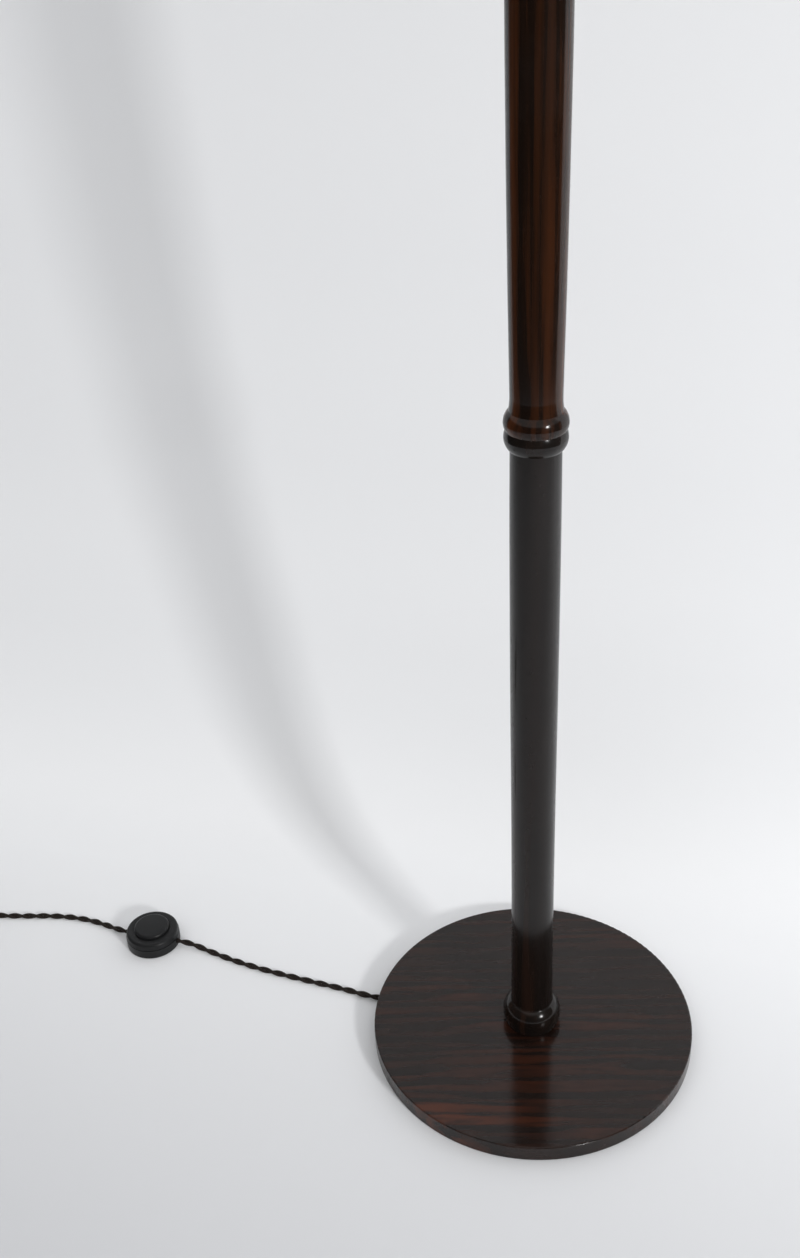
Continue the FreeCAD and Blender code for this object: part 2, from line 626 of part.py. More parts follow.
def make_holder():
    """Screw lamp holder: two-part shell, insulating block, screw shell and contacts."""
    thread_bore = "tube_radius + thread_clearance"
    dome_start = "holder_bottom + holder_neck_height"
    inside = "holder_radius - holder_wall"
    neck_inside = "holder_neck_radius - holder_wall / 2"
    dome = arc_radius("holder_radius - holder_neck_radius", "holder_dome_height")
    named(turned("holder_cap", [
        (thread_bore, "holder_bottom"),
        ("holder_neck_radius", "holder_bottom"),
        ("holder_neck_radius", dome_start),
        ("holder_radius", "holder_shell_bottom", dome, 1),
        (inside, "holder_shell_bottom"),
        (neck_inside, "%s + holder_wall" % dome_start, dome, -1),
        (neck_inside, dome_start),
        (thread_bore, dome_start),
    ]), "holder_cap")
    collar = "holder_shell_bottom + holder_collar_offset"
    ledge = "insulator_bottom"
    named(turned("holder_shell", [
        ("insulator_radius - insulator_seat", "holder_shell_bottom"),
        ("holder_radius", "holder_shell_bottom"),
        ("holder_radius", collar),
        ("holder_collar_radius", collar),
        ("holder_collar_radius", "%s + holder_collar_thickness" % collar),
        ("holder_radius", "%s + holder_collar_thickness" % collar),
        ("holder_radius", "holder_top"),
        (inside, "holder_top"),
        (inside, ledge),
        ("insulator_radius - insulator_seat", ledge),
    ]), "holder_shell")
    lead_hole = "lead_diameter / 2 + lead_end_gap"
    block_shape = turned("holder_insulator", [
        (lead_hole, "insulator_bottom"),
        ("insulator_radius", "insulator_bottom"),
        ("insulator_radius", "insulator_top"),
        ("contact_well_radius", "insulator_top"),
        ("contact_well_radius", "well_floor"),
        (lead_hole, "well_floor"),
    ])
    screw_places = [("holder_screw_offset", "0"), ("-holder_screw_offset", "0")]
    thread = "holder_screw_radius + thread_clearance"
    holes = [rod(thread, "holder_screw_length + cut_margin", x, y,
                 "well_floor - holder_screw_length")
             for x, y in screw_places]
    named(without(block_shape, *holes), "holder_insulator")

    shell_outer = "screw_shell_bore + screw_shell_wall"
    shell_floor = "insulator_top + contact_sheet"
    screw_shell = turned("holder_screw_shell", [
        ("contact_well_radius - contact_sheet", "insulator_top"),
        (shell_outer, "insulator_top"),
        (shell_outer, "insulator_top + screw_shell_height"),
        ("screw_shell_bore", "insulator_top + screw_shell_height"),
        ("screw_shell_bore", shell_floor),
        ("contact_well_radius - contact_sheet", shell_floor),
    ])
    leg = block("contact_sheet", "contact_width", "contact_well_depth + contact_sheet",
                x="contact_well_radius - 1.5 * contact_sheet", z="well_floor")
    lug_length = "contact_well_radius - holder_screw_offset + holder_screw_head - lug_inset"
    lug = block(lug_length, "contact_width", "contact_sheet",
                x="contact_well_radius - lug_inset - (%s) / 2" % lug_length, z="well_floor")
    lug_hole = rod(thread, "contact_sheet + 2 * cut_margin", "holder_screw_offset", "0",
                   "well_floor - cut_margin")
    named(without(joined(screw_shell, leg, lug), lug_hole), "holder_screw_shell")

    foot_length = "holder_screw_head * 2"
    foot = block(foot_length, "contact_width", "contact_sheet",
                 x="-holder_screw_offset + contact_foot_inset", z="well_floor")
    link = block("holder_screw_offset - contact_link_gap", "contact_width", "contact_sheet",
                 x="-holder_screw_offset / 2 - contact_riser_offset", z="well_floor")
    riser = block("contact_sheet", "contact_width", "contact_lift + contact_sheet",
                  x="-holder_screw_offset / 2 + contact_riser_offset", z="well_floor")
    tongue = block("contact_length / 2", "contact_width", "contact_sheet",
                   x="-holder_screw_offset / 2 + contact_riser_offset + contact_length / 4",
                   z="well_floor + contact_lift")
    strip_hole = rod(thread, "contact_sheet + 2 * cut_margin", "-holder_screw_offset", "0",
                     "well_floor - cut_margin")
    named(without(joined(foot, link, riser, tongue), strip_hole), "holder_centre_contact")
    named(together([joined(
        rod("holder_screw_radius", "holder_screw_length", x, y,
            "well_floor - holder_screw_length + holder_screw_end_gap"),
        rod("holder_screw_head", "holder_screw_head_height", x, y,
            "well_floor + contact_sheet")) for x, y in screw_places]),
        "holder_terminal_screws")

    ring_bore = "holder_radius + ring_clearance"
    hub_top = "fitter_level + spider_hub_thickness"
    ring_low = "fitter_level - ring_thickness"
    named(turned("shade_ring_lower", [
        (ring_bore, ring_low),
        ("ring_radius - ring_skirt", ring_low),
        ("ring_radius", "%s + ring_skirt" % ring_low, "ring_skirt", 1),
        ("ring_radius", "fitter_level"),
        (ring_bore, "fitter_level"),
    ]), "shade_ring_lower")
    named(turned("shade_ring_upper", [
        (ring_bore, hub_top),
        ("ring_radius", hub_top),
        ("ring_radius", "%s + ring_thickness - ring_skirt" % hub_top),
        ("ring_radius - ring_skirt", "%s + ring_thickness" % hub_top, "ring_skirt", 1),
        (ring_bore, "%s + ring_thickness" % hub_top),
    ]), "shade_ring_upper")


# ---------------------------------------------------------------- shade

def hoop(radius, level):
    """A wire hoop lying level."""
    ring = bind(document.addObject("Part::Torus", "Hoop"), Radius1=radius,
                Radius2="hoop_wire / 2")
    return place(ring, z=level)


def make_shade():
    """A plain tapered shade on two wire hoops, carried by a three-armed fitter."""
    def skin_radius(rise):
        """Outer radius of the shade at a height above its lower edge."""
        return "shade_bottom_radius - shade_slope * (%s)" % rise

    wall = "shade_wall"
    named(turned("shade_skin", [
        ("shade_bottom_radius - %s" % wall, "shade_bottom"),
        ("shade_bottom_radius", "shade_bottom"),
        ("shade_top_radius", "shade_top"),
        ("shade_top_radius - %s" % wall, "shade_top"),
    ]), "shade_skin")
    low_radius = "%s - shade_wall - hoop_wire / 2 - hoop_clearance" % skin_radius("hoop_inset")
    high_radius = ("%s - shade_wall - hoop_wire / 2 - hoop_clearance"
                   % skin_radius("shade_height - hoop_inset"))
    low_level = "shade_bottom + hoop_inset"
    hub = turned("spider_hub", ring_outline("holder_radius + ring_clearance",
                                            "spider_hub_radius", "fitter_level",
                                            "fitter_level + spider_hub_thickness"))
    hub_level = value("fitter_level + spider_hub_thickness / 2")
    start_radius = value("spider_hub_radius - arm_overlap")
    end_radius = value(low_radius)
    drop = value(low_level) - hub_level
    reach = end_radius - start_radius
    arms = []
    for turn in range(3):
        angle = 120 * turn
        tilt = math.degrees(math.atan2(reach, drop))
        turning = FreeCAD.Rotation(UP, angle) * FreeCAD.Rotation(Vector(0, 1, 0), tilt)
        length = "sqrt((%s - spider_hub_radius + arm_overlap)^2 + (%s - fitter_level - " \
                 "spider_hub_thickness / 2)^2)" % (low_radius, low_level)
        arm = bind(document.addObject("Part::Cylinder", "Arm"), Radius="spider_wire / 2",
                   Height=length)
        place(arm, "(spider_hub_radius - arm_overlap) * cos(%d)" % angle,
              "(spider_hub_radius - arm_overlap) * sin(%d)" % angle,
              "fitter_level + spider_hub_thickness / 2", turning)
        arms.append(arm)
    ring_room = turned("ring_room", ring_outline(
        "holder_radius", "ring_radius + ring_room", "fitter_level + spider_hub_thickness",
        "fitter_level + spider_hub_thickness + ring_thickness"))
    low_room = turned("ring_room_low", ring_outline(
        "holder_radius", "ring_radius + ring_room", "fitter_level - ring_thickness - cut_margin",
        "fitter_level"))
    frame = joined(hub, hoop(low_radius, low_level), without(joined(*arms), ring_room, low_room))
    named(frame, "shade_frame")
    named(hoop(high_radius, "shade_top - hoop_inset"), "shade_top_hoop")

    def trim(label, low, high):
        """A narrow binding round the outside of one edge."""
        inner_low, inner_high = skin_radius(low), skin_radius(high)
        return named(turned(label, [
            (inner_low, "shade_bottom + (%s)" % low),
            ("%s + trim_thickness" % inner_low, "shade_bottom + (%s)" % low),
            ("%s + trim_thickness" % inner_high, "shade_bottom + (%s)" % high),
            (inner_high, "shade_bottom + (%s)" % high),
        ]), label)

    trim("shade_trim_lower", "0", "trim_height")
    trim("shade_trim_upper", "shade_height - trim_height", "shade_height")


# ---------------------------------------------------------------- foot switch

def switch_post_places():
    """Places of the four screw posts, off the cord's line through the switch."""
    corners = ((1, 1), (-1, 1), (-1, -1), (1, -1))
    return [("switch_x + (%d) * post_circle * sin(post_angle)" % across,
             "switch_y + (%d) * post_circle * cos(post_angle)" % along)
            for across, along in corners]


def make_switch_shell():
    """Lower shell, cover, screws and pads of the foot switch."""
    inner = "switch_bore"
    base = turned("switch_base", [
        ("0", "switch_shell_bottom"),
        ("switch_radius - switch_base_round", "switch_shell_bottom"),
        ("switch_radius", "switch_shell_bottom + switch_base_round", "switch_base_round", 1),
        ("switch_radius", "switch_shell_top"),
        ("lip_radius - lip_clearance", "switch_shell_top"),
        ("lip_radius - lip_clearance", "cover_bottom + lip_height"),
        ("%s - lip_clearance" % inner, "cover_bottom + lip_height"),
        ("%s - lip_clearance" % inner, "switch_floor"),
        ("0", "switch_floor"),
    ], x="switch_x", y="switch_y")
    seat = turned("spring_seat", ring_outline("spring_radius - spring_seat_wall / 2",
                                              "spring_radius + spring_seat_wall / 2",
                                              "switch_floor", "spring_seat"),
                  x="switch_x", y="switch_y")
    strip_way = block("strip_way_length", "contact_width + strip_slot_clearance * 2",
                      "spring_seat_height", x="switch_x", y="switch_y", z="switch_floor")
    posts = [rod("post_radius", "post_split - switch_floor", x, y, "switch_floor")
             for x, y in switch_post_places()]
    screw_holes = [rod("cover_screw_radius + screw_clearance",
                       "post_split - switch_shell_bottom + 2 * cut_margin", x, y,
                       "switch_shell_bottom - cut_margin") for x, y in switch_post_places()]
    head_rooms = [rod("cover_screw_head + screw_clearance", "cover_screw_head_height + cut_margin",
                      x, y, "switch_shell_bottom - cut_margin") for x, y in switch_post_places()]
    pad_rooms = [rod("switch_pad_radius + switch_pad_clearance",
                     "switch_pad_recess + cut_margin", "switch_x + " + x, "switch_y + " + y,
                     "switch_shell_bottom - cut_margin")
                 for x, y in around(3, "switch_pad_circle")]
    entries = [rod("cord_diameter / 2 + cord_entry_clearance", "switch_wall + seam_depth + 2 * cut_margin",
                   "switch_x + (%s)" % offset, "switch_y", "cord_entry_height", along)
               for offset, along in (("switch_radius + cut_margin", "-x"),
                                 ("-switch_radius - cut_margin", "x"))]
    shell = joined(base, without(seat, strip_way), *posts)
    named(without(shell, *(screw_holes + head_rooms + pad_rooms + entries)), "switch_base")
    named(together([rod("switch_pad_radius", "switch_pad_recess + switch_pad_height",
                        "switch_x + " + x, "switch_y + " + y, "0")
                    for x, y in around(3, "switch_pad_circle")]), "switch_pads")

    hole = "button_radius + button_hole_clearance"
    shoulder = "switch_radius - cover_draft"
    cover = turned("switch_cover", [
        ("lip_radius", "cover_bottom"),
        ("switch_radius", "cover_bottom"),
        (shoulder, "cover_top - cover_round"),
        ("%s - cover_round" % shoulder, "cover_top", "cover_round", 1),
        (hole, "cover_top"),
        (hole, "cover_ceiling"),
        ("%s - switch_wall" % shoulder, "cover_ceiling"),
        ("lip_radius", "cover_bottom + lip_height + lip_clearance"),
    ], x="switch_x", y="switch_y")
    cover_posts = [rod("post_radius", "cover_ceiling - post_split - post_gap + post_root", x, y,
                       "post_split + post_gap") for x, y in switch_post_places()]
    threads = [rod("cover_screw_radius + thread_clearance", "cover_screw_reach", x, y,
                   "post_split")
               for x, y in switch_post_places()]
    flange_room = turned("flange_room", [
        ("0", "switch_floor"),
        ("button_radius + button_flange + button_flange_clearance", "switch_floor"),
        ("button_radius + button_flange + button_flange_clearance", "cover_ceiling"),
        ("0", "cover_ceiling"),
    ], x="switch_x", y="switch_y")
    trimmed = [without(post, flange_room) for post in cover_posts]
    named(without(joined(cover, *trimmed), *threads), "switch_cover")
    named(together([joined(
        rod("cover_screw_head", "cover_screw_head_height", x, y, "switch_shell_bottom"),
        rod("cover_screw_radius", "post_split + cover_screw_reach - switch_shell_bottom"
            " - cover_screw_end_gap", x, y, "switch_shell_bottom")) for x, y in switch_post_places()]),
        "switch_cover_screws")


def make_switch_works():
    """Button, spring, contacts, terminals and cores inside the foot switch."""
    outer = "button_radius"
    skirt = "button_radius - button_wall"
    button = turned("switch_button", [
        ("0", "button_top", arc_radius("button_crown", "%s - button_round" % outer), 1),
        ("0", "button_ceiling"),
        (skirt, "button_ceiling"),
        (skirt, "flange_bottom"),
        ("%s + button_flange" % outer, "flange_bottom"),
        ("%s + button_flange" % outer, "flange_top"),
        (outer, "flange_top"),
        (outer, "button_top - button_crown - button_round"),
        ("%s - button_round" % outer, "button_top - button_crown", "button_round", 1),
    ], x="switch_x", y="switch_y")
    stem = rod("stem_radius", "button_ceiling - bridge_bottom - bridge_thickness + stem_root",
               "switch_x", "switch_y", "bridge_bottom + bridge_thickness")
    named(joined(button, stem), "switch_button")
    named(block("bridge_length", "bridge_width", "bridge_thickness", "switch_x", "switch_y",
                "bridge_bottom"), "switch_bridge")

    contacts = []
    terminals = []
    screws = []
    for side in (1, -1):
        pad = block("contact_pad_length", "strip_width", "contact_height",
                    "switch_x + (%d) * contact_pad_offset" % side, "switch_y", "switch_floor")
        strip_length = "strip_end - contact_pad_offset"
        strip = block(strip_length, "strip_width", "strip_thickness",
                      "switch_x + (%d) * (strip_end + contact_pad_offset) / 2" % side,
                      "switch_y", "switch_floor")
        contacts.append(joined(pad, strip))
        block_x = "switch_x + (%d) * terminal_offset" % side
        block_z = "switch_floor + strip_thickness"
        body = block("terminal_length", "terminal_width", "terminal_height", block_x,
                     "switch_y", block_z)
        thread = rod("terminal_screw_radius", "terminal_height", block_x, "switch_y",
                     "%s + terminal_floor" % block_z)
        terminals.append(without(body, thread))
        screws.append(joined(
            rod("terminal_screw_radius", "terminal_height - terminal_floor - terminal_screw_gap",
                block_x, "switch_y", "%s + terminal_floor + terminal_screw_gap" % block_z),
            rod("terminal_screw_head", "terminal_screw_head_height", block_x, "switch_y",
                "%s + terminal_height" % block_z)))
    named(together(contacts), "switch_contacts")
    named(together(terminals), "switch_terminals")
    named(together(screws), "switch_terminal_screws")

    make_switch_spring()
    make_switch_cores()
    make_switch_grips()


def make_switch_spring():
    """The coil spring between the base and the button, closed by its own turns."""
    wire = value("spring_wire")
    radius = value("spring_radius")
    middle = Vector(value("switch_x"), value("switch_y"), 0)
    low = value("spring_seat + spring_end_gap") + wire / 2
    high = value("button_ceiling - spring_end_gap") - wire / 2
    quarters = int(4 * value("spring_turns"))
    path = []
    ways = []
    for quarter in range(quarters + 1):
        angle = math.pi / 2 * quarter
        # The first and last turn lie flat, and the turns between them climb evenly.
        climb = min(max((quarter - 2) / (quarters - 4), 0), 1)
        steep = (high - low) / (quarters - 4) if 2 < quarter < quarters - 2 else 0
        out = Vector(math.cos(angle), math.sin(angle), 0)
        path.append(middle + out * radius + UP * (low + (high - low) * climb))
        way = Vector(-out.y, out.x, steep / (math.pi / 2 * radius))
        ways.append(way.normalize())
    edges = wound(path, ways)
    solid = swept(edges, wire, path[0], ways[0])
    shaped("switch_spring", solid)
    print("switch_spring: least gap to itself %.2f" % least_gap(edges, wire, radius))


def make_switch_cores():
    """The switched core's two ends and the core that passes straight through."""
    x, y = value("switch_x"), value("switch_y")
    level = value("cord_entry_height")
    inside = value("switch_radius - cord_hold - core_gap")
    wire = value("core_diameter")
    beside = inside - wire / 2
    start_y, turn_y, row_y = -value("core_start"), -value("core_turn"), -value("core_row")
    row_x = value("core_side")
    route = [(beside, start_y), (beside, turn_y), (row_x, row_y),
             (-row_x, row_y), (-beside, turn_y), (-beside, start_y)]
    points = [Vector(x + across, y + along, level) for across, along in route]
    edges = route_edges(points, value("core_bend"))[0]
    solids = [swept(edges, wire, points[0], points[1] - points[0])]
    for side in (1, -1):
        start = Vector(x + side * inside, y + value("core_offset"), level)
        end_x = value("terminal_offset + terminal_length / 2 + core_gap")
        end = Vector(x + side * end_x, y + value("core_offset"), level)
        solids.append(swept([Part.LineSegment(start, end).toShape()], wire, start, end - start))
    shaped("switch_cores", Part.makeCompound(solids))


def saddle(x, y, floor, centre, length, along):
    """A grip that bridges a cord: two legs on the floor and a bar over the cord."""
    room = "cord_diameter + 2 * grip_clearance"
    width = "%s + 2 * grip_leg" % room
    inner_height = "%s + cord_diameter / 2 + grip_clearance - (%s)" % (centre, floor)
    height = "%s + grip_bridge" % inner_height
    longer = "(%s) + 2 * cut_margin" % length
    if along == "x":
        return without(block(length, width, height, x, y, floor),
                       block(longer, room, inner_height, x, y, floor))
    return without(block(width, length, height, x, y, floor),
                   block(room, longer, inner_height, x, y, floor))


def make_switch_grips():
    """A saddle over the cord inside each entry."""
    named(together([saddle("switch_x + (%d) * grip_offset" % side, "switch_y", "switch_floor",
                           "cord_entry_height", "grip_length", "x") for side in (1, -1)]),
          "switch_cord_grips")


# ---------------------------------------------------------------- cord

def make_cords():
    """The free cord: base to switch, switch to coil, and the coil of the spare length."""
    rest = value("cord_rest")
    diameter = value("cord_diameter")
    entry = value("cord_entry_height")
    switch_x, switch_y = value("switch_x"), value("switch_y")
    reach = value("switch_radius - cord_hold")
    lamp_side = [
        Vector(-value("disc_radius - cord_exit_depth"), 0, value("cord_exit_height")),
        Vector(-164, 0, value("cord_exit_height")), Vector(-188, 4.6, rest + 0.2),
        Vector(-222, 6.8, rest),
        Vector(-256, 9.2, rest), Vector(-289, 12.4, rest), Vector(-321, 17.8, rest),
        Vector(-348, 24.0, rest + 0.4), Vector(-366, switch_y, entry),
        Vector(switch_x + reach, switch_y, entry),
    ]
    routed("cord_lamp_side", lamp_side, diameter)
    coil_x, coil_y = value("coil_x"), value("coil_y")
    radius = value("coil_radius")
    wall_side = [
        Vector(switch_x - reach, switch_y, entry), Vector(-441, switch_y, entry),
        Vector(-456, 30.4, 4.8), Vector(-476, 35.6, rest + 0.2), Vector(-502, 37.0, rest),
        Vector(-530, 33.2, rest),
        Vector(-560, 25.6, rest), Vector(-590, 19.6, rest),
        Vector(coil_x + 16, coil_y + radius, rest),
        Vector(coil_x + diameter, coil_y + radius, rest),
    ]
    routed("cord_wall_side", wall_side, diameter)

    # The coil spirals in on the floor, climbs in the half turn where it reverses, and spirals
    # out again on top. It starts at the side away from the view, a quarter turn before its end.
    quarters = int(value("coil_quarters"))
    middle = quarters / 2
    pitch = value("coil_pitch")
    end_reach = value("coil_end_reach")
    lift = value("coil_layer_pitch")
    path = []
    ways = []
    for quarter in range(quarters + 1):
        angle = math.pi / 2 * (quarter + 1)
        inward = min(quarter, quarters - quarter)
        spiral = radius - pitch * inward / 4 + (end_reach if quarter == quarters else 0)
        climb = min(max((quarter - middle + 1) / 2, 0), 1)
        height = rest + lift * climb * climb * (3 - 2 * climb)
        out = Vector(math.cos(angle), math.sin(angle), 0)
        sideways = Vector(-out.y, out.x, 0)
        drift = 0 if quarter in (0, quarters) else math.copysign(pitch / 4, quarter - middle)
        slope = lift * 6 * climb * (1 - climb) / 2
        path.append(Vector(coil_x, coil_y, height) + out * spiral)
        ways.append((sideways * (math.pi / 2 * spiral) + out * drift + UP * slope).normalize())
    edges = wound(path, ways)
    start = path[0] - ways[0] * diameter
    end = path[-1] + ways[-1] * diameter
    edges = ([Part.LineSegment(start, path[0]).toShape()] + edges
             + [Part.LineSegment(path[-1], end).toShape()])
    shaped("cord_coil", swept(edges, diameter, start, ways[0]))
    print("cord_coil: length %.1f, least gap to itself %.2f"
          % (sum(edge.Length for edge in edges), least_gap(edges, diameter, radius * 2, 6)))


# ---------------------------------------------------------------- plug

def make_plug():
    """Two-pin plug: two half shells with a tapered cord relief, pins, clamp and screws."""
    axis = "plug_axis"
    middle_y = "(plug_back + plug_front) / 2"

    def body_block(inset):
        """The plug's plain block, or the room inside it."""
        return block("plug_width - 2 * (%s)" % inset, "plug_length - 2 * (%s)" % inset,
                     "2 * plug_axis - 2 * (%s)" % inset, "plug_x", middle_y, inset)

    outer_block = body_block("0")
    document.recompute()
    corners = document.addObject("Part::Fillet", "PlugCorners")
    corners.Base = outer_block
    upright = [number + 1 for number, edge in enumerate(outer_block.Shape.Edges)
               if abs(edge.tangentAt(edge.FirstParameter).z) > 0.9]
    corner = value("plug_corner")
    corners.Edges = [(number, corner, corner) for number in upright]
    document.recompute()
    rims = document.addObject("Part::Fillet", "PlugRims")
    rims.Base = corners
    rim_round = value("plug_edge_round")
    flat = [number + 1 for number, edge in enumerate(corners.Shape.Edges)
            if edge.BoundBox.ZLength < 0.01]
    rims.Edges = [(number, rim_round, rim_round) for number in flat]
    relief = cone("relief_root", "relief_tip", "relief_length + plug_wall", "plug_x",
                  "plug_back - plug_wall", axis, "y")
    shell = without(joined(rims, relief), body_block("plug_wall"),
                    rod("cord_diameter / 2 + relief_clearance",
                        "relief_length + relief_inside + cut_margin", "plug_x",
                        "plug_back - relief_inside", axis, "y"))
    pin_places = ["plug_x + (%d) * pin_spacing / 2" % side for side in (1, -1)]
    pin_holes = [rod("pin_shank + pin_clearance", "plug_wall + 2 * cut_margin", x,
                     "plug_front - cut_margin", axis, "y") for x in pin_places]
    post_y = "plug_back - plug_post_back"
    post = rod("plug_post_radius", "2 * plug_axis - 2 * plug_wall + 2 * plug_post_root",
               "plug_x", post_y, "plug_wall - plug_post_root")
    screw_hole = rod("plug_screw_radius + screw_clearance", "2 * plug_axis", "plug_x", post_y,
                     "-cut_margin")
    head_room = rod("plug_screw_head + screw_clearance", "plug_screw_head_height + cut_margin",
                    "plug_x", post_y, "-cut_margin")
    case = without(joined(shell, post), screw_hole, head_room, *pin_holes)
    for label, low in (("plug_body", "-plug_half_margin"), ("plug_cover", axis)):
        half_space = block("plug_width + 2 * plug_half_margin",
                           "2 * (plug_length + relief_length + plug_half_margin)",
                           "plug_axis + plug_half_margin", "plug_x", "plug_back", low)
        half = document.addObject("Part::Common", label)
        half.Base = case
        half.Tool = half_space
        named(half, label)

    pins = []
    screws = []
    for x in pin_places:
        head_y = "plug_front + pin_seat"
        screw_y = "%s + pin_head_length / 2" % head_y
        pins.append(without(joined(
            cone("pin_nose", "pin_radius", "pin_tip", x, "plug_front - pin_length", axis, "y"),
            rod("pin_radius", "pin_length - pin_tip", x, "plug_front - pin_length + pin_tip",
                axis, "y"),
            rod("pin_shank", "pin_seat", x, "plug_front", axis, "y"),
            rod("pin_head", "pin_head_length", x, head_y, axis, "y")),
            rod("terminal_screw_radius", "pin_head", x, screw_y,
                "plug_axis + pin_screw_floor")))
        screws.append(joined(
            rod("terminal_screw_radius", "pin_head - pin_screw_gap", x, screw_y,
                "plug_axis + pin_screw_floor + pin_screw_gap"),
            rod("pin_screw_head", "pin_screw_head_height", x, screw_y,
                "plug_axis + pin_head + pin_screw_rise")))
    named(together(pins), "plug_pins")
    named(together(screws), "plug_terminal_screws")
    named(joined(rod("plug_screw_head", "plug_screw_head_height", "plug_x", post_y, "0"),
                 rod("plug_screw_radius", "plug_screw_length", "plug_x", post_y, "0")),
          "plug_screw")

    centre_x = value("plug_x")
    level = value(axis)
    lead_end = value("plug_back - plug_lead_inside")
    wire = value("core_diameter")
    start = Vector(centre_x, value("plug_cord_y"), level)
    end = Vector(centre_x, lead_end, level)
    leads = [swept([Part.LineSegment(start, end).toShape()], value("cord_diameter"), start,
                   end - start)]
    for side in (1, -1):
        terminal_x = side * value("pin_spacing / 2")
        terminal_y = value("plug_front + pin_seat + pin_head_length + core_gap")
        spread = side * value("plug_lead_spread")
        straight = value("plug_lead_straight")
        route = [(spread, lead_end - value("core_gap")), (spread, lead_end - straight),
                 (terminal_x, terminal_y + straight), (terminal_x, terminal_y)]
        points = [Vector(centre_x + across, along, level) for across, along in route]
        edges = route_edges(points, wire)[0]
        leads.append(swept(edges, wire, points[0], points[1] - points[0]))
    shaped("plug_leads", Part.makeCompound(leads))
    named(saddle("plug_x", "plug_back - plug_grip_back", "plug_wall", axis, "grip_length",
                 "y"), "plug_cord_grip")


make_base()
make_stem()
make_column()
make_holder()
make_shade()
make_switch_shell()
make_switch_works()
make_cords()
make_plug()
document.recompute()

for thing in document.Objects:
    if "Invalid" in thing.State or "Error" in thing.State:
        raise RuntimeError("%s did not build" % thing.Label)

os.makedirs("parts", exist_ok=True)
for label, piece in pieces.items():
    shape = piece.Shape
    if shape.isNull() or not shape.isValid() or not shape.Solids:
        raise RuntimeError("%s has no sound shape" % label)
    shape.exportStep("parts/%s.step" % label)
print("%d pieces, %d solids" % (len(pieces), sum(len(p.Shape.Solids) for p in pieces.values())))
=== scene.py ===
"""Looks of a candlestick floor lamp, built round its CAD frame: cords, finishes, small parts,
stage and light. Lengths are in metres unless a comment says millimetres, +Z is up, and the
floor is at zero."""
import json
import math

import bpy
from mathutils import Matrix, Vector
from mathutils.bvhtree import BVHTree


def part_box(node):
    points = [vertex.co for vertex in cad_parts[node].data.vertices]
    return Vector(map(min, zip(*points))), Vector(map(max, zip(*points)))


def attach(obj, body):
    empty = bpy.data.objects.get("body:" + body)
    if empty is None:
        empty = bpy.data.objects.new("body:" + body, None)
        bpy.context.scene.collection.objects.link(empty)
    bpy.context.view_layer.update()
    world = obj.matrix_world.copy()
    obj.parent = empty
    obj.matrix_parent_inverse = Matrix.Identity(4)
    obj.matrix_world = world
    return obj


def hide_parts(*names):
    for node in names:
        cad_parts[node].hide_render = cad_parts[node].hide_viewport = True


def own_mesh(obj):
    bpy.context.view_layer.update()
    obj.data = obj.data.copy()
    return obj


MM = 0.001
FULL_TURN = 2 * math.pi
BODY = "lamp"

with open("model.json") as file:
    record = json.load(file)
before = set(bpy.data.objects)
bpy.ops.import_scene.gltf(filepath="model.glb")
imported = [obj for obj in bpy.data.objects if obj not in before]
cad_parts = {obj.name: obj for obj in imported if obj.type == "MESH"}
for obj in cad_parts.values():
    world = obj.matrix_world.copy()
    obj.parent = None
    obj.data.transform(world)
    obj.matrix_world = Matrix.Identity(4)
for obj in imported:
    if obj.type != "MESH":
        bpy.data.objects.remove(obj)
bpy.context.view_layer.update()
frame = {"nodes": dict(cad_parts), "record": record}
nodes = frame["nodes"]
scene = bpy.context.scene


# ---------------------------------------------------------------- camera

CAMERA_PLACE = Vector((0.1805, -0.9327, 1.0262))
CAMERA_YAW, CAMERA_DOWN, CAMERA_ROLL = (math.radians(a) for a in (-17.391, 31.164, -2.912))
CAMERA_LENS, CAMERA_SENSOR = 62.82, 36.0  # millimetres


def make_camera():
    """The photograph's viewpoint: high on the right, looking down at the base."""
    ahead = Vector((math.sin(CAMERA_YAW) * math.cos(CAMERA_DOWN),
                    math.cos(CAMERA_YAW) * math.cos(CAMERA_DOWN), -math.sin(CAMERA_DOWN)))
    level = Vector((math.cos(CAMERA_YAW), -math.sin(CAMERA_YAW), 0))
    above = level.cross(ahead)
    right = level * math.cos(CAMERA_ROLL) + above * math.sin(CAMERA_ROLL)
    up = above * math.cos(CAMERA_ROLL) - level * math.sin(CAMERA_ROLL)
    data = bpy.data.cameras.new("camera")
    data.sensor_fit = "HORIZONTAL"
    data.sensor_width = CAMERA_SENSOR
    data.lens = CAMERA_LENS
    camera = bpy.data.objects.new("camera", data)
    turn = Matrix((right, up, -ahead)).transposed().to_4x4()
    camera.matrix_world = Matrix.Translation(CAMERA_PLACE) @ turn
    scene.collection.objects.link(camera)
    scene.camera = camera


# ---------------------------------------------------------------- node trees

FLOAT, VECTOR, COLOUR = "NodeSocketFloat", "NodeSocketVector", "NodeSocketColor"


def place_node(tree, kind, inputs=None, **settings):
    """A node with its settings, whose inputs are values or the sockets that feed them."""
    made = tree.nodes.new(kind)
    for name, value in settings.items():
        setattr(made, name, value)
    for name, value in (inputs or {}).items():
        if isinstance(value, bpy.types.NodeSocket):
            tree.links.new(value, made.inputs[name])
        else:
            made.inputs[name].default_value = value
    return made


def maths(tree, operation, first, second=0.0, third=0.0):
    """The result of one sum."""
    return place_node(tree, "ShaderNodeMath", {0: first, 1: second, 2: third},
                      operation=operation).outputs[0]


def blend_colours(tree, share, first, second):
    """The first colour turning into the second by a share."""
    return place_node(tree, "ShaderNodeMix", {0: share, 6: first, 7: second},
                      data_type="RGBA").outputs[2]


def blend_values(tree, share, first, second):
    """The first value turning into the second by a share."""
    return place_node(tree, "ShaderNodeMix", {0: share, 2: first, 3: second}).outputs[0]


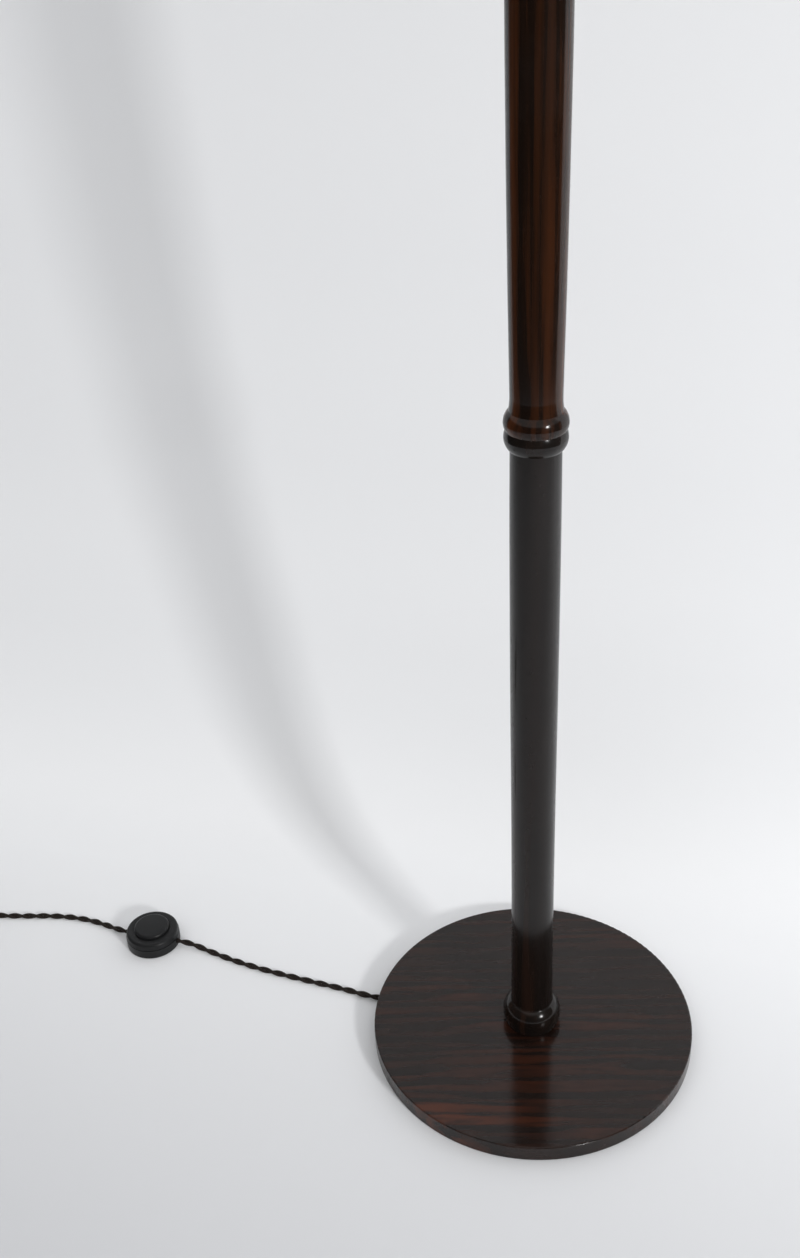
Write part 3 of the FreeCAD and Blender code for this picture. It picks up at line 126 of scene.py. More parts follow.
def spread_values(tree, value, low, high, to_low=0.0, to_high=1.0, smooth=False):
    """A value carried from one range to another, clamped."""
    kind = "SMOOTHSTEP" if smooth else "LINEAR"
    return place_node(tree, "ShaderNodeMapRange",
                      {0: value, 1: low, 2: high, 3: to_low, 4: to_high},
                      interpolation_type=kind).outputs[0]


def noise(tree, vector, scale, detail, roughness=0.55, distortion=0.0):
    """The grey value of a noise texture; scale is how many of its spots fit in a metre."""
    return place_node(tree, "ShaderNodeTexNoise",
                      {"Vector": vector, "Scale": scale, "Detail": detail,
                       "Roughness": roughness, "Distortion": distortion}).outputs["Fac"]


def colour(red, green, blue):
    """A colour written in linear light, as a socket takes it."""
    return (red, green, blue, 1.0)


def scaled(tint, factor):
    """A tint made darker or lighter, as a socket takes it."""
    return colour(*(part * factor for part in tint))


def new_group(name, inputs, outputs):
    """A shader node group with named sockets; it gives the tree, its inputs and its end."""
    tree = bpy.data.node_groups.new(name, "ShaderNodeTree")
    for way, sockets in (("INPUT", inputs), ("OUTPUT", outputs)):
        for label, kind in sockets.items():
            tree.interface.new_socket(label, in_out=way, socket_type=kind)
    start = tree.nodes.new("NodeGroupInput").outputs
    end = tree.nodes.new("NodeGroupOutput").inputs
    return tree, start, end


def make_timber_group():
    """Stained timber whose fibres run along Z: tone bands, dark figure, warm patches, pores."""
    tree, start, end = new_group("timber", {
        "Vector": VECTOR, "Dark": COLOUR, "Brown": COLOUR, "Warm": COLOUR, "Warmth": FLOAT,
        "Along": FLOAT, "Fineness": FLOAT, "Pores": FLOAT},
        {"Color": COLOUR, "Roughness": FLOAT, "Height": FLOAT})
    squeeze = place_node(tree, "ShaderNodeCombineXYZ", {0: 1.0, 1: 1.0, 2: start["Along"]})
    fibre = place_node(tree, "ShaderNodeVectorMath",
                       {0: start["Vector"], 1: squeeze.outputs[0]},
                       operation="MULTIPLY").outputs[0]
    fibre = place_node(tree, "ShaderNodeVectorMath", {0: fibre, "Scale": start["Fineness"]},
                       operation="SCALE").outputs[0]
    rings = place_node(tree, "ShaderNodeTexWave",
                       {"Vector": fibre, "Scale": 17.0, "Distortion": 9.0, "Detail": 3.0,
                        "Detail Scale": 1.6, "Detail Roughness": 0.6},
                       wave_type="BANDS", bands_direction="X").outputs["Fac"]
    drift = noise(tree, fibre, scale=9.0, detail=2.0)
    streaks = noise(tree, fibre, scale=150.0, detail=5.0, roughness=0.62)
    pores = noise(tree, fibre, scale=900.0, detail=3.0, roughness=0.7)
    patches = noise(tree, fibre, scale=26.0, detail=3.0, roughness=0.5, distortion=0.6)
    broad = noise(tree, fibre, scale=55.0, detail=4.0, roughness=0.6, distortion=0.9)

    # Fibres: from the dark tone to the brown one.
    ring_share, streak_share, broad_share = 0.25, 0.5, 0.6
    tone = maths(tree, "MULTIPLY_ADD", rings, ring_share,
                 maths(tree, "MULTIPLY", streaks, streak_share))
    tone = maths(tree, "MULTIPLY_ADD", broad, broad_share, tone)
    tone = spread_values(tree, tone, 0.50, 0.88, smooth=True)
    body = blend_colours(tree, tone, start["Dark"], start["Brown"])

    # Warm patches, only where the fibres are light.
    patch_share, drift_share = 0.7, 0.3
    glow = maths(tree, "ADD", maths(tree, "MULTIPLY", patches, patch_share),
                 maths(tree, "MULTIPLY", drift, drift_share))
    glow = spread_values(tree, glow, 0.42, 0.68, smooth=True)
    glow = maths(tree, "MULTIPLY", maths(tree, "MULTIPLY", glow, start["Warmth"]), tone)
    body = blend_colours(tree, glow, body, start["Warm"])

    # Pores are dark, rough and sunk.
    pore_roughness, streak_height, pore_depth = 0.12, 0.35, 0.6
    pits = spread_values(tree, pores, 0.60, 0.72)
    pits = maths(tree, "MULTIPLY", pits, start["Pores"])
    tree.links.new(blend_colours(tree, pits, body, start["Dark"]), end["Color"])
    rough = spread_values(tree, streaks, 0.2, 0.8, to_low=0.30, to_high=0.44)
    tree.links.new(maths(tree, "MULTIPLY_ADD", pits, pore_roughness, rough), end["Roughness"])
    tree.links.new(maths(tree, "SUBTRACT", maths(tree, "MULTIPLY", streaks, streak_height),
                         maths(tree, "MULTIPLY", pits, pore_depth)), end["Height"])
    return tree


def make_wear_group():
    """Faint smears and specks of dust: a mask of both, and how much rougher the smears are."""
    tree, start, end = new_group("handling", {"Vector": VECTOR, "Scale": FLOAT,
                                              "Strength": FLOAT},
                                 {"Mask": FLOAT, "Roughness": FLOAT})
    speck_fineness, smear_share = 40.0, 0.5
    cloud = noise(tree, start["Vector"], start["Scale"], detail=5.0, roughness=0.6)
    speck = noise(tree, start["Vector"],
                  maths(tree, "MULTIPLY", start["Scale"], speck_fineness), detail=2.0)
    smear = spread_values(tree, cloud, 0.45, 0.75, smooth=True)
    dust = spread_values(tree, speck, 0.66, 0.74)
    mask = maths(tree, "MAXIMUM", maths(tree, "MULTIPLY", smear, smear_share), dust)
    tree.links.new(maths(tree, "MULTIPLY", mask, start["Strength"]), end["Mask"])
    tree.links.new(maths(tree, "MULTIPLY", smear, start["Strength"]), end["Roughness"])
    return tree


def make_weave_group():
    """Plain weave on two counts of threads: over and under, with uneven yarn."""
    tree, start, end = new_group("plain_weave", {"Across": FLOAT, "Up": FLOAT,
                                                 "Vector": VECTOR},
                                 {"Thread": FLOAT, "Height": FLOAT})
    wobble_width, height_share, slub_share, crossing = 1.2, 0.6, 0.4, 0.3
    slub = noise(tree, start["Vector"], scale=220.0, detail=3.0)
    wobble = maths(tree, "MULTIPLY", maths(tree, "SUBTRACT", slub, 0.5), wobble_width)
    warp_way = maths(tree, "MULTIPLY", maths(tree, "ADD", start["Across"], wobble), math.pi)
    weft_way = maths(tree, "MULTIPLY", maths(tree, "ADD", start["Up"], wobble), math.pi)
    warp = maths(tree, "ABSOLUTE", maths(tree, "SINE", warp_way))
    weft = maths(tree, "ABSOLUTE", maths(tree, "SINE", weft_way))
    over = maths(tree, "MULTIPLY", maths(tree, "SINE", warp_way), maths(tree, "SINE", weft_way))
    side = spread_values(tree, over, -crossing, crossing, smooth=True)
    height = blend_values(tree, side, warp, weft)
    tree.links.new(maths(tree, "MULTIPLY_ADD", height, height_share,
                         maths(tree, "MULTIPLY", slub, slub_share)), end["Thread"])
    tree.links.new(height, end["Height"])
    return tree


TIMBER = make_timber_group()
HANDLING = make_wear_group()
WEAVE = make_weave_group()


def group_node(tree, group, inputs):
    """A group placed in a material with its own values; it gives the outputs."""
    return place_node(tree, "ShaderNodeGroup", inputs, node_tree=group).outputs


def new_material(name, **settings):
    """A material with its Principled shader, whose plain inputs are set by name."""
    material = bpy.data.materials.new(name)
    material.use_nodes = True
    tree = material.node_tree
    shader = tree.nodes["Principled BSDF"]
    for label, value in settings.items():
        shader.inputs[label.replace("_", " ")].default_value = value
    return material, tree, shader


def object_place(tree):
    """Object coordinates."""
    return tree.nodes.new("ShaderNodeTexCoord").outputs["Object"]


def split(tree, vector):
    """The three parts of a vector."""
    return place_node(tree, "ShaderNodeSeparateXYZ", {0: vector}).outputs


def finish_surface(tree, shader, tint, roughness, height, strength, distance):
    """Feeds the shader its colour and roughness, and its normal from a height."""
    tree.links.new(tint, shader.inputs["Base Color"])
    tree.links.new(roughness, shader.inputs["Roughness"])
    raised = place_node(tree, "ShaderNodeBump",
                        {"Height": height, "Strength": strength, "Distance": distance})
    tree.links.new(raised.outputs[0], shader.inputs["Normal"])


# ---------------------------------------------------------------- finishes

# Turns that bring the timber's fibres onto Z.
UPRIGHT = (0.0, 0.0, 0.3)
LYING = (math.radians(90), math.radians(-75), 0.0)
DUST_TINT = (0.06, 0.055, 0.05)
BRAID_YARNS, BRAID_PITCH = 4, 0.0011


def wood_finish(name, turn, dark, brown, warm, warmth, along, fineness, pores,
                shift=(0, 0, 0), front_glow=None):
    """Dark stained timber under semi-gloss lacquer; turn brings its fibres onto Z.
    front_glow gives where the timber turns warmer towards the front edge, and how much."""
    material, tree, shader = new_material(
        name, Coat_Weight=0.66, Coat_Roughness=0.13, Specular_IOR_Level=0.03)
    where = object_place(tree)
    mapping = place_node(tree, "ShaderNodeMapping",
                         {"Vector": where, "Rotation": turn, "Location": shift})
    if front_glow:
        begin, full, most = front_glow
        warmth = spread_values(tree, split(tree, where)[1], begin, full, warmth, most,
                               smooth=True)
    timber = group_node(tree, TIMBER, {
        "Vector": mapping.outputs[0], "Dark": colour(*dark), "Brown": colour(*brown),
        "Warm": colour(*warm), "Warmth": warmth, "Along": along, "Fineness": fineness,
        "Pores": pores})
    handled = group_node(tree, HANDLING, {"Vector": where, "Scale": 14.0, "Strength": 0.22})
    dust_share = maths(tree, "MULTIPLY", handled["Mask"], 0.25)
    finish_surface(tree, shader,
                   blend_colours(tree, dust_share, timber["Color"], colour(*DUST_TINT)),
                   maths(tree, "ADD", timber["Roughness"], handled["Roughness"]),
                   timber["Height"], strength=0.10, distance=0.0003)
    return material


def moulded_finish(name, tint, roughness, grain, relief, gloss=0.5):
    """Moulded plastic: an even grain with so many spots to the metre, faint handling marks."""
    material, tree, shader = new_material(name, IOR=1.5, Specular_IOR_Level=gloss)
    where = object_place(tree)
    handled = group_node(tree, HANDLING, {"Vector": where, "Scale": 60.0, "Strength": 0.3})
    lighter = colour(*(min(1.0, part * 1.6 + 0.012) for part in tint))
    finish_surface(tree, shader,
                   blend_colours(tree, handled["Mask"], colour(*tint), lighter),
                   maths(tree, "MULTIPLY_ADD", handled["Roughness"], 0.6, roughness),
                   noise(tree, where, grain, detail=2.0), strength=relief, distance=0.0002)
    return material


def metal_finish(name, tint, roughness, tarnish, brushed=(1.0, 1.0, 1.0)):
    """Bare or plated metal with brushing along one way and cloudy tarnish."""
    material, tree, shader = new_material(name, Metallic=1.0)
    where = object_place(tree)
    mapping = place_node(tree, "ShaderNodeMapping", {"Vector": where, "Scale": brushed})
    lines = noise(tree, mapping.outputs[0], scale=900.0, detail=3.0, roughness=0.6)
    clouds = noise(tree, where, scale=90.0, detail=5.0, roughness=0.6)
    share = spread_values(tree, clouds, 0.42, 0.72, to_high=tarnish, smooth=True)
    rough = spread_values(tree, lines, 0.3, 0.7, roughness, roughness + 0.14)
    finish_surface(tree, shader,
                   blend_colours(tree, share, colour(*tint), scaled(tint, 0.45)),
                   maths(tree, "MULTIPLY_ADD", share, 0.25, rough),
                   lines, strength=0.12, distance=0.0001)
    return material


def felt_finish(name, tint):
    """Dense felt with short loose fibres."""
    material, tree, shader = new_material(name, Sheen_Weight=0.5, Sheen_Roughness=0.6)
    fuzz = noise(tree, object_place(tree), scale=1400.0, detail=4.0, roughness=0.75,
                 distortion=0.8)
    finish_surface(tree, shader, blend_colours(tree, fuzz, colour(*tint), scaled(tint, 2.2)),
                   spread_values(tree, fuzz, 0.2, 0.8, to_low=0.85, to_high=1.0),
                   fuzz, strength=0.7, distance=0.0006)
    return material


def glazed_finish(name, tint):
    """Glazed ceramic with faint specks."""
    material, tree, shader = new_material(name, Coat_Weight=0.6, Coat_Roughness=0.06)
    where = object_place(tree)
    speck = spread_values(tree, noise(tree, where, scale=500.0, detail=3.0), 0.62, 0.74)
    finish_surface(tree, shader,
                   blend_colours(tree, maths(tree, "MULTIPLY", speck, 0.4), colour(*tint),
                                 scaled(tint, 0.7)),
                   spread_values(tree, speck, 0.0, 1.0, to_low=0.22, to_high=0.4),
                   noise(tree, where, scale=120.0, detail=2.0), strength=0.08, distance=0.0004)
    return material


def linen_finish(name, tint, thread, radius):
    """Plain woven linen round a vertical axis; thread is the pitch of its yarn."""
    material, tree, shader = new_material(name, Sheen_Weight=0.25, Sheen_Roughness=0.5,
                                          IOR=1.4)
    where = object_place(tree)
    parts = split(tree, where)
    angle = maths(tree, "ARCTAN2", parts[1], parts[0])
    across = maths(tree, "MULTIPLY", angle, round(radius / thread))
    up = maths(tree, "MULTIPLY", parts[2], 1 / thread)
    cloth = group_node(tree, WEAVE, {"Across": across, "Up": up, "Vector": where})
    finish_surface(tree, shader,
                   # Colour follows the weave: the dips between threads are darker, which is
                   # painted shade, and uneven yarn varies it at random.
                   blend_colours(tree, cloth["Thread"], scaled(tint, 0.72), colour(*tint)),
                   spread_values(tree, cloth["Thread"], 0.0, 1.0, to_low=0.9, to_high=0.75),
                   cloth["Height"], strength=0.5, distance=0.0003)
    return material


def braid_finish(name, dark, light):
    """Braided cotton over a core: two sets of yarns wound opposite ways, read from the UVs."""
    material, tree, shader = new_material(name, Sheen_Weight=0.06, Sheen_Roughness=0.4,
                                          Specular_IOR_Level=0.25)
    parts = split(tree, place_node(tree, "ShaderNodeUVMap", uv_map="strand").outputs[0])
    around = maths(tree, "MULTIPLY", parts[0], BRAID_YARNS * FULL_TURN)
    along = maths(tree, "MULTIPLY", parts[1], math.pi / BRAID_PITCH)
    left = maths(tree, "SINE", maths(tree, "ADD", around, along))
    right = maths(tree, "SINE", maths(tree, "SUBTRACT", around, along))
    over = spread_values(tree, maths(tree, "MULTIPLY", left, right), -0.25, 0.25, smooth=True)
    height = blend_values(tree, over, maths(tree, "ABSOLUTE", left),
                          maths(tree, "ABSOLUTE", right))
    # Colour follows the yarns: painted shade darkens the grooves between them, and lint varies
    # it at random.
    lint = noise(tree, object_place(tree), scale=1500.0, detail=3.0, roughness=0.7)
    share = maths(tree, "MULTIPLY", height, spread_values(tree, lint, 0.3, 0.7, to_low=0.5))
    finish_surface(tree, shader, blend_colours(tree, share, colour(*dark), colour(*light)),
                   spread_values(tree, height, 0.0, 1.0, to_low=0.95, to_high=0.62),
                   height, strength=0.6, distance=0.0003)
    return material


# How each finish is made: tints in linear light, and what its function asks for.
FINISH_TABLE = [
    (wood_finish, {
        "wood_disc": dict(
            turn=LYING, shift=(0.03, 0.01, 0.02), dark=(0.0064, 0.0035, 0.0026),
            brown=(0.0128, 0.0056, 0.0037), warm=(0.085, 0.0190, 0.0050), warmth=0.22,
            along=0.13, fineness=1.4, pores=0.15, front_glow=(-0.085, -0.14, 0.75)),
        "wood_lower": dict(
            turn=UPRIGHT, dark=(0.0055, 0.0038, 0.0030), brown=(0.0078, 0.0054, 0.0043),
            warm=(0.036, 0.0120, 0.0052), warmth=0.30, along=0.04, fineness=1.0, pores=0.1),
        "wood_upper": dict(
            turn=UPRIGHT, shift=(0.10, 0.07, 0.4), dark=(0.0062, 0.0027, 0.0014),
            brown=(0.0240, 0.0074, 0.0022), warm=(0.105, 0.0265, 0.0036), warmth=0.75,
            along=0.035, fineness=1.5, pores=0.4)}),
    (moulded_finish, {
        "switch_plastic": dict(tint=(0.0105, 0.0107, 0.0112), roughness=0.34, grain=2600.0,
                               relief=0.06, gloss=0.22),
        "plug_plastic": dict(tint=(0.0105, 0.0107, 0.0112), roughness=0.40, grain=2200.0,
                             relief=0.10),
        "holder_plastic": dict(tint=(0.012, 0.012, 0.012), roughness=0.22, grain=900.0,
                               relief=0.03),
        "grip_plastic": dict(tint=(0.10, 0.10, 0.10), roughness=0.45, grain=1500.0,
                             relief=0.08),
        "core_plastic": dict(tint=(0.08, 0.05, 0.04), roughness=0.42, grain=1200.0,
                             relief=0.05),
        "rubber": dict(tint=(0.014, 0.014, 0.014), roughness=0.72, grain=1800.0, relief=0.3),
        "shade_wire": dict(tint=(0.72, 0.71, 0.67), roughness=0.35, grain=500.0,
                           relief=0.05)}),
    (metal_finish, {
        "steel": dict(tint=(0.50, 0.50, 0.51), roughness=0.28, tarnish=0.5),
        "zinc_tube": dict(tint=(0.56, 0.53, 0.44), roughness=0.30, tarnish=0.5,
                          brushed=(1.0, 1.0, 12.0)),
        "brass": dict(tint=(0.62, 0.43, 0.17), roughness=0.24, tarnish=0.6,
                      brushed=(1.0, 1.0, 8.0))}),
    (felt_finish, {"felt": dict(tint=(0.018, 0.018, 0.018))}),
    (glazed_finish, {"ceramic": dict(tint=(0.74, 0.72, 0.66))}),
    (linen_finish, {
        "shade_fabric": dict(tint=(0.70, 0.66, 0.57), thread=0.0011, radius=0.18),
        "shade_binding": dict(tint=(0.66, 0.61, 0.52), thread=0.0006, radius=0.18)}),
    (braid_finish, {
        "cord_fabric": dict(dark=(0.0065, 0.0045, 0.0035), light=(0.0230, 0.0145, 0.0100)),
        "linen_thread": dict(dark=(0.42, 0.36, 0.27), light=(0.62, 0.55, 0.44))}),
]

# The nodes whose timber is their own, where the CAD has one slot for them all.
WOODS = {"base_disc": "wood_disc", "column_lower": "wood_lower", "column_upper": "wood_upper"}


def make_finishes():
    """Every finish by its name."""
    return {name: make(name, **values)
            for make, rows in FINISH_TABLE for name, values in rows.items()}


def dress_frame(finishes):
    """Gives each CAD node its finish: its own timber, or the one named as its slot."""
    slots = {part["node"]: part["material_slot"] for part in frame["record"]["subparts"]}
    for name, node in nodes.items():
        finish = finishes[WOODS.get(name, slots[name])]
        for slot in node.material_slots:
            slot.material = finish


# ---------------------------------------------------------------- cords

CORD_DIAMETER = 0.006
STRAND_RADIUS = 0.0015
STRAND_LAY = 0.031
STRAND_SIDES = 12
STRAND_STEP = 0.0012
LINE_FINENESS = 16
COIL_MIDDLE = (-0.632, -0.029)
COIL_RADIUS = 0.0478
COIL_PITCH = 0.0065
COIL_END_REACH = 0.004
COIL_QUARTERS = 29
COIL_STEPS = 4
COIL_LIFT = 0.0065
FLOOR_REST = 0.003

# The routes that the cords lie on, in millimetres.
LAMP_SIDE = [
    (-149, 0, 5.1), (-164, 0, 5.1), (-188, 4.6, 3.2), (-222, 6.8, 3), (-256, 9.2, 3),
    (-289, 12.4, 3), (-321, 17.8, 3), (-348, 24, 3.4), (-366, 26.6, 6.4), (-386.2, 26.6, 6.4)]
WALL_SIDE = [
    (-428.2, 26.6, 6.4), (-441, 26.6, 6.4), (-456, 30.4, 4.8), (-476, 35.6, 3.2),
    (-502, 37, 3), (-530, 33.2, 3), (-560, 25.6, 3), (-590, 19.6, 3), (-616, 18.8, 3)]


def coil_points():
    """Spiral in on the floor, climb in the half turn where it reverses, spiral out on top."""
    middle = COIL_QUARTERS / 2
    corner = math.cos(math.pi / (4 * COIL_STEPS))
    points = []
    for number in range(COIL_QUARTERS * COIL_STEPS + 1):
        quarter = number / COIL_STEPS
        angle = math.pi / 2 * (quarter + 1)
        inward = min(quarter, COIL_QUARTERS - quarter)
        last = max(quarter - COIL_QUARTERS + 1, 0)
        radius = COIL_RADIUS - COIL_PITCH * inward / 4 + COIL_END_REACH * last
        climb = min(max((quarter - middle + 1) / 2, 0), 1)
        height = FLOOR_REST + COIL_LIFT * climb * climb * (3 - 2 * climb)
        points.append((COIL_MIDDLE[0] + math.cos(angle) * radius / corner,
                       COIL_MIDDLE[1] + math.sin(angle) * radius / corner, height))
    return points


def smooth_line(points):
    """Points along a NURBS spline that is drawn on a route's points."""
    curve = bpy.data.curves.new("cord_line", "CURVE")
    curve.dimensions = "3D"
    curve.resolution_u = LINE_FINENESS
    spline = curve.splines.new("NURBS")
    spline.points.add(len(points) - 1)
    for point, place in zip(spline.points, points):
        point.co = (*place, 1)
    spline.order_u = 3
    spline.use_endpoint_u = True
    holder = bpy.data.objects.new("cord_line", curve)
    scene.collection.objects.link(holder)
    bpy.context.view_layer.update()
    mesh = bpy.data.meshes.new_from_object(
        holder.evaluated_get(bpy.context.evaluated_depsgraph_get()))
    line = [vertex.co.copy() for vertex in mesh.vertices]
    bpy.data.objects.remove(holder)
    bpy.data.meshes.remove(mesh)
    return line


def even_steps(line, step):
    """Points the same distance apart along a line, and that distance."""
    lengths = [0.0]
    for one, other in zip(line, line[1:]):
        lengths.append(lengths[-1] + (other - one).length)
    count = max(2, round(lengths[-1] / step))
    points = []
    segment = 0
    for number in range(count + 1):
        reach = lengths[-1] * number / count
        while segment < len(line) - 2 and lengths[segment + 1] < reach:
            segment += 1
        run = lengths[segment + 1] - lengths[segment]
        share = (reach - lengths[segment]) / run if run else 0
        points.append(line[segment].lerp(line[segment + 1], share))
    return points, lengths[-1] / count


def carried_frames(points):
    """At each point: the way ahead, and two ways across that follow it without twist."""
    across = Vector((0, 0, 1))
    frames = []
    for number in range(len(points)):
        before = points[max(number - 1, 0)]
        after = points[min(number + 1, len(points) - 1)]
        ahead = (after - before).normalized()
        across = (across - ahead * across.dot(ahead)).normalized()
        frames.append((ahead, across, ahead.cross(across)))
    return frames


def offset_point(point, frame_here, radius, angle):
    """A point at a distance and an angle round a line."""
    ahead, across, beside = frame_here
    return point + across * (radius * math.cos(angle)) + beside * (radius * math.sin(angle))


def tube_mesh(name, lines, radius, sides, step):
    """Closed round tubes along lines, in one mesh, with UVs: around, and metres along."""
    vertices = []
    faces = []
    uvs = []
    for line in lines:
        first = len(vertices)
        for point, frame_here in zip(line, carried_frames(line)):
            vertices += [offset_point(point, frame_here, radius, FULL_TURN * side / sides)
                         for side in range(sides)]
        for ring in range(len(line) - 1):
            for side in range(sides):
                a = first + ring * sides + side
                b = first + ring * sides + (side + 1) % sides
                faces.append((a, b, b + sides, a + sides))
                low, high = side / sides, (side + 1) / sides
                near, far = ring * step, (ring + 1) * step
                uvs += [(low, near), (high, near), (high, far), (low, far)]
        end = first + (len(line) - 1) * sides
        for cap in ([first + side for side in reversed(range(sides))],
                    [end + side for side in range(sides)]):
            faces.append(cap)
            uvs += [(side / sides, 0.0) for side in range(sides)]
    mesh = bpy.data.meshes.new(name)
    mesh.from_pydata(vertices, [], faces)
    layer = mesh.uv_layers.new(name="strand")
    for loop, uv in zip(layer.data, uvs):
        loop.uv = uv
    for polygon in mesh.polygons:
        polygon.use_smooth = len(polygon.vertices) == 4
    return mesh


def new_piece(name, mesh, finish):
    """A mesh as a piece of the lamp, with its finish, that goes with the lamp's body."""
    piece = bpy.data.objects.new(name, mesh)
    mesh.materials.clear()
    mesh.materials.append(finish)
    scene.collection.objects.link(piece)
    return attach(piece, BODY)


def twisted_cord(name, points, finish):
    """Two strands laid round each other along a route; also their line and its length."""
    line, step = even_steps(smooth_line(points), STRAND_STEP)
    frames = carried_frames(line)
    strands = [[offset_point(point, frame_here, STRAND_RADIUS,
                             FULL_TURN * number * step / STRAND_LAY + phase)
                for number, (point, frame_here) in enumerate(zip(line, frames))]
               for phase in (0, math.pi)]
    mesh = tube_mesh(name, strands, STRAND_RADIUS, STRAND_SIDES, step)
    return new_piece(name, mesh, finish), line, step * (len(line) - 1)


def make_cords(finishes):
    """The cord from the base to the foot switch, and on to the coil and the plug."""
    first_route = [Vector(point) * MM for point in LAMP_SIDE]
    cord, line, length = twisted_cord("lamp_cord", first_route, finishes["cord_fabric"])
    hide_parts("cord_lamp_side")

    turns = [Vector(point) for point in coil_points()]
    tail = turns[-1] + Vector((0, -CORD_DIAMETER - COIL_END_REACH / 4, 0))
    second_route = [Vector(point) * MM for point in WALL_SIDE] + turns + [tail]
    cord, line, length = twisted_cord("wall_cord", second_route, finishes["cord_fabric"])
    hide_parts("cord_wall_side", "cord_coil")


# ---------------------------------------------------------------- small parts

STITCH_PITCH, STITCH_LENGTH, STITCH_WIDTH = 0.0065, 0.0042, 0.0007
STITCH_CIRCLE_SIDES = 256
ROD_SEGMENTS, ROD_RINGS = 6, 5
RAY_START, RAY_OFF_SEAM = 1.0, 0.001


def link_up(tree, kind, inputs, **settings):
    """A geometry node; it gives its first output."""
    return place_node(tree, kind, inputs, **settings).outputs[0]


def make_stitch_tree():
    """A ring of running stitches: rods laid end to end round a circle."""
    tree = bpy.data.node_groups.new("running_stitches", "GeometryNodeTree")
    sockets = {}
    for label, kind in (("Radius", FLOAT), ("Level", FLOAT), ("Count", "NodeSocketInt"),
                        ("Length", FLOAT), ("Width", FLOAT), ("Thread", "NodeSocketMaterial")):
        sockets[label] = tree.interface.new_socket(label, in_out="INPUT", socket_type=kind)
    tree.interface.new_socket("Geometry", in_out="OUTPUT", socket_type="NodeSocketGeometry")
    start = tree.nodes.new("NodeGroupInput").outputs
    end = tree.nodes.new("NodeGroupOutput").inputs
    circle = link_up(tree, "GeometryNodeCurvePrimitiveCircle",
                     {"Resolution": STITCH_CIRCLE_SIDES, "Radius": start["Radius"]})
    spread = place_node(tree, "GeometryNodeCurveToPoints",
                        {"Curve": circle, "Count": start["Count"]}, mode="COUNT")
    rod = link_up(tree, "GeometryNodeMeshUVSphere",
                  {"Segments": ROD_SEGMENTS, "Rings": ROD_RINGS, "Radius": 0.5})
    size = link_up(tree, "ShaderNodeCombineXYZ",
                   {0: start["Width"], 1: start["Width"], 2: start["Length"]})
    rod = link_up(tree, "GeometryNodeTransform", {"Geometry": rod, "Scale": size})
    ring = link_up(tree, "GeometryNodeInstanceOnPoints",
                   {"Points": spread.outputs["Points"], "Instance": rod,
                    "Rotation": spread.outputs["Rotation"]})
    lift = link_up(tree, "ShaderNodeCombineXYZ", {2: start["Level"]})
    ring = link_up(tree, "GeometryNodeRealizeInstances", {"Geometry": ring})
    ring = link_up(tree, "GeometryNodeSetPosition", {"Geometry": ring, "Offset": lift})
    ring = link_up(tree, "GeometryNodeSetMaterial",
                   {"Geometry": ring, "Material": start["Thread"]})
    tree.links.new(ring, end[0])
    return tree, sockets


def outer_radius(name, level):
    """How far a round node's outside is from the lamp's axis at a level."""
    mesh = nodes[name].data
    surface = BVHTree.FromPolygons([vertex.co for vertex in mesh.vertices],
                                   [polygon.vertices for polygon in mesh.polygons])
    hit = surface.ray_cast(Vector((RAY_START, RAY_OFF_SEAM, level)), Vector((-1, 0, 0)))[0]
    return hit.x


def make_stitches(thread):
    """Running stitches that hold the two bindings to the shade."""
    tree, sockets = make_stitch_tree()
    for edge, name in (("lower", "shade_trim_lower"), ("upper", "shade_trim_upper")):
        low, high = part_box(name)
        level = (low[2] + high[2]) / 2
        radius = outer_radius(name, level)
        values = {"Radius": radius, "Level": level, "Length": STITCH_LENGTH,
                  "Count": round(FULL_TURN * radius / STITCH_PITCH),
                  "Width": STITCH_WIDTH, "Thread": thread}
        blank = bpy.data.objects.new("stitch_base", bpy.data.meshes.new("stitch_base"))
        scene.collection.objects.link(blank)
        modifier = blank.modifiers.new("stitches", "NODES")
        modifier.node_group = tree
        for label, value in values.items():
            modifier[sockets[label].identifier] = value
        bpy.context.view_layer.update()
        mesh = bpy.data.meshes.new_from_object(
            blank.evaluated_get(bpy.context.evaluated_depsgraph_get()))
        bpy.data.objects.remove(blank)
        piece = new_piece("shade_stitches_" + edge, mesh, thread)


def make_return_spring(finish):
    """The switch's spring, as a piece of its own with a mesh of its own."""
    spring = new_piece("return_spring", nodes["switch_spring"].data.copy(), finish)
    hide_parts("switch_spring")
    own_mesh(spring)


# ---------------------------------------------------------------- stage

# The sweep's outline from front to back, each point its depth and its height.
SWEEP = [(-4.0, 0.0), (0.10, 0.0), (0.17, 0.002), (0.215, 0.014), (0.25, 0.042), (0.283, 0.092),
         (0.308, 0.165), (0.328, 0.245), (0.362, 0.35), (0.382, 0.46), (0.402, 0.57),
         (0.414, 0.68), (0.43, 0.79), (0.44, 0.9), (0.47, 1.3), (0.50, 1.9), (0.52, 3.2)]
SWEEP_HALF_WIDTH = 4.0
FLOOR_REACH, FLOOR_DROP = 30.0, 0.0008
# The paper's tint, and the darker tint towards the front that is painted shade.
PAPER, PAPER_PAINTED_SHADE = (0.885, 0.892, 0.905), (0.600, 0.606, 0.625)
PAPER_FRONT, PAPER_BACK = -0.42, 0.14
ROOM_RADIUS, ROOM_HEIGHT = 1.45, 1.1
ROOM_SIDES = 96
# The faint painted glow of the room round the stage.
ROOM_GLOW = (0.05, 0.048, 0.045)


def place_mesh(name, vertices, faces, material):
    """A mesh in the scene, with its material."""
    mesh = bpy.data.meshes.new(name)
    mesh.from_pydata(vertices, [], faces)
    mesh.materials.append(material)
    placed = bpy.data.objects.new(name, mesh)
    scene.collection.objects.link(placed)
    return placed


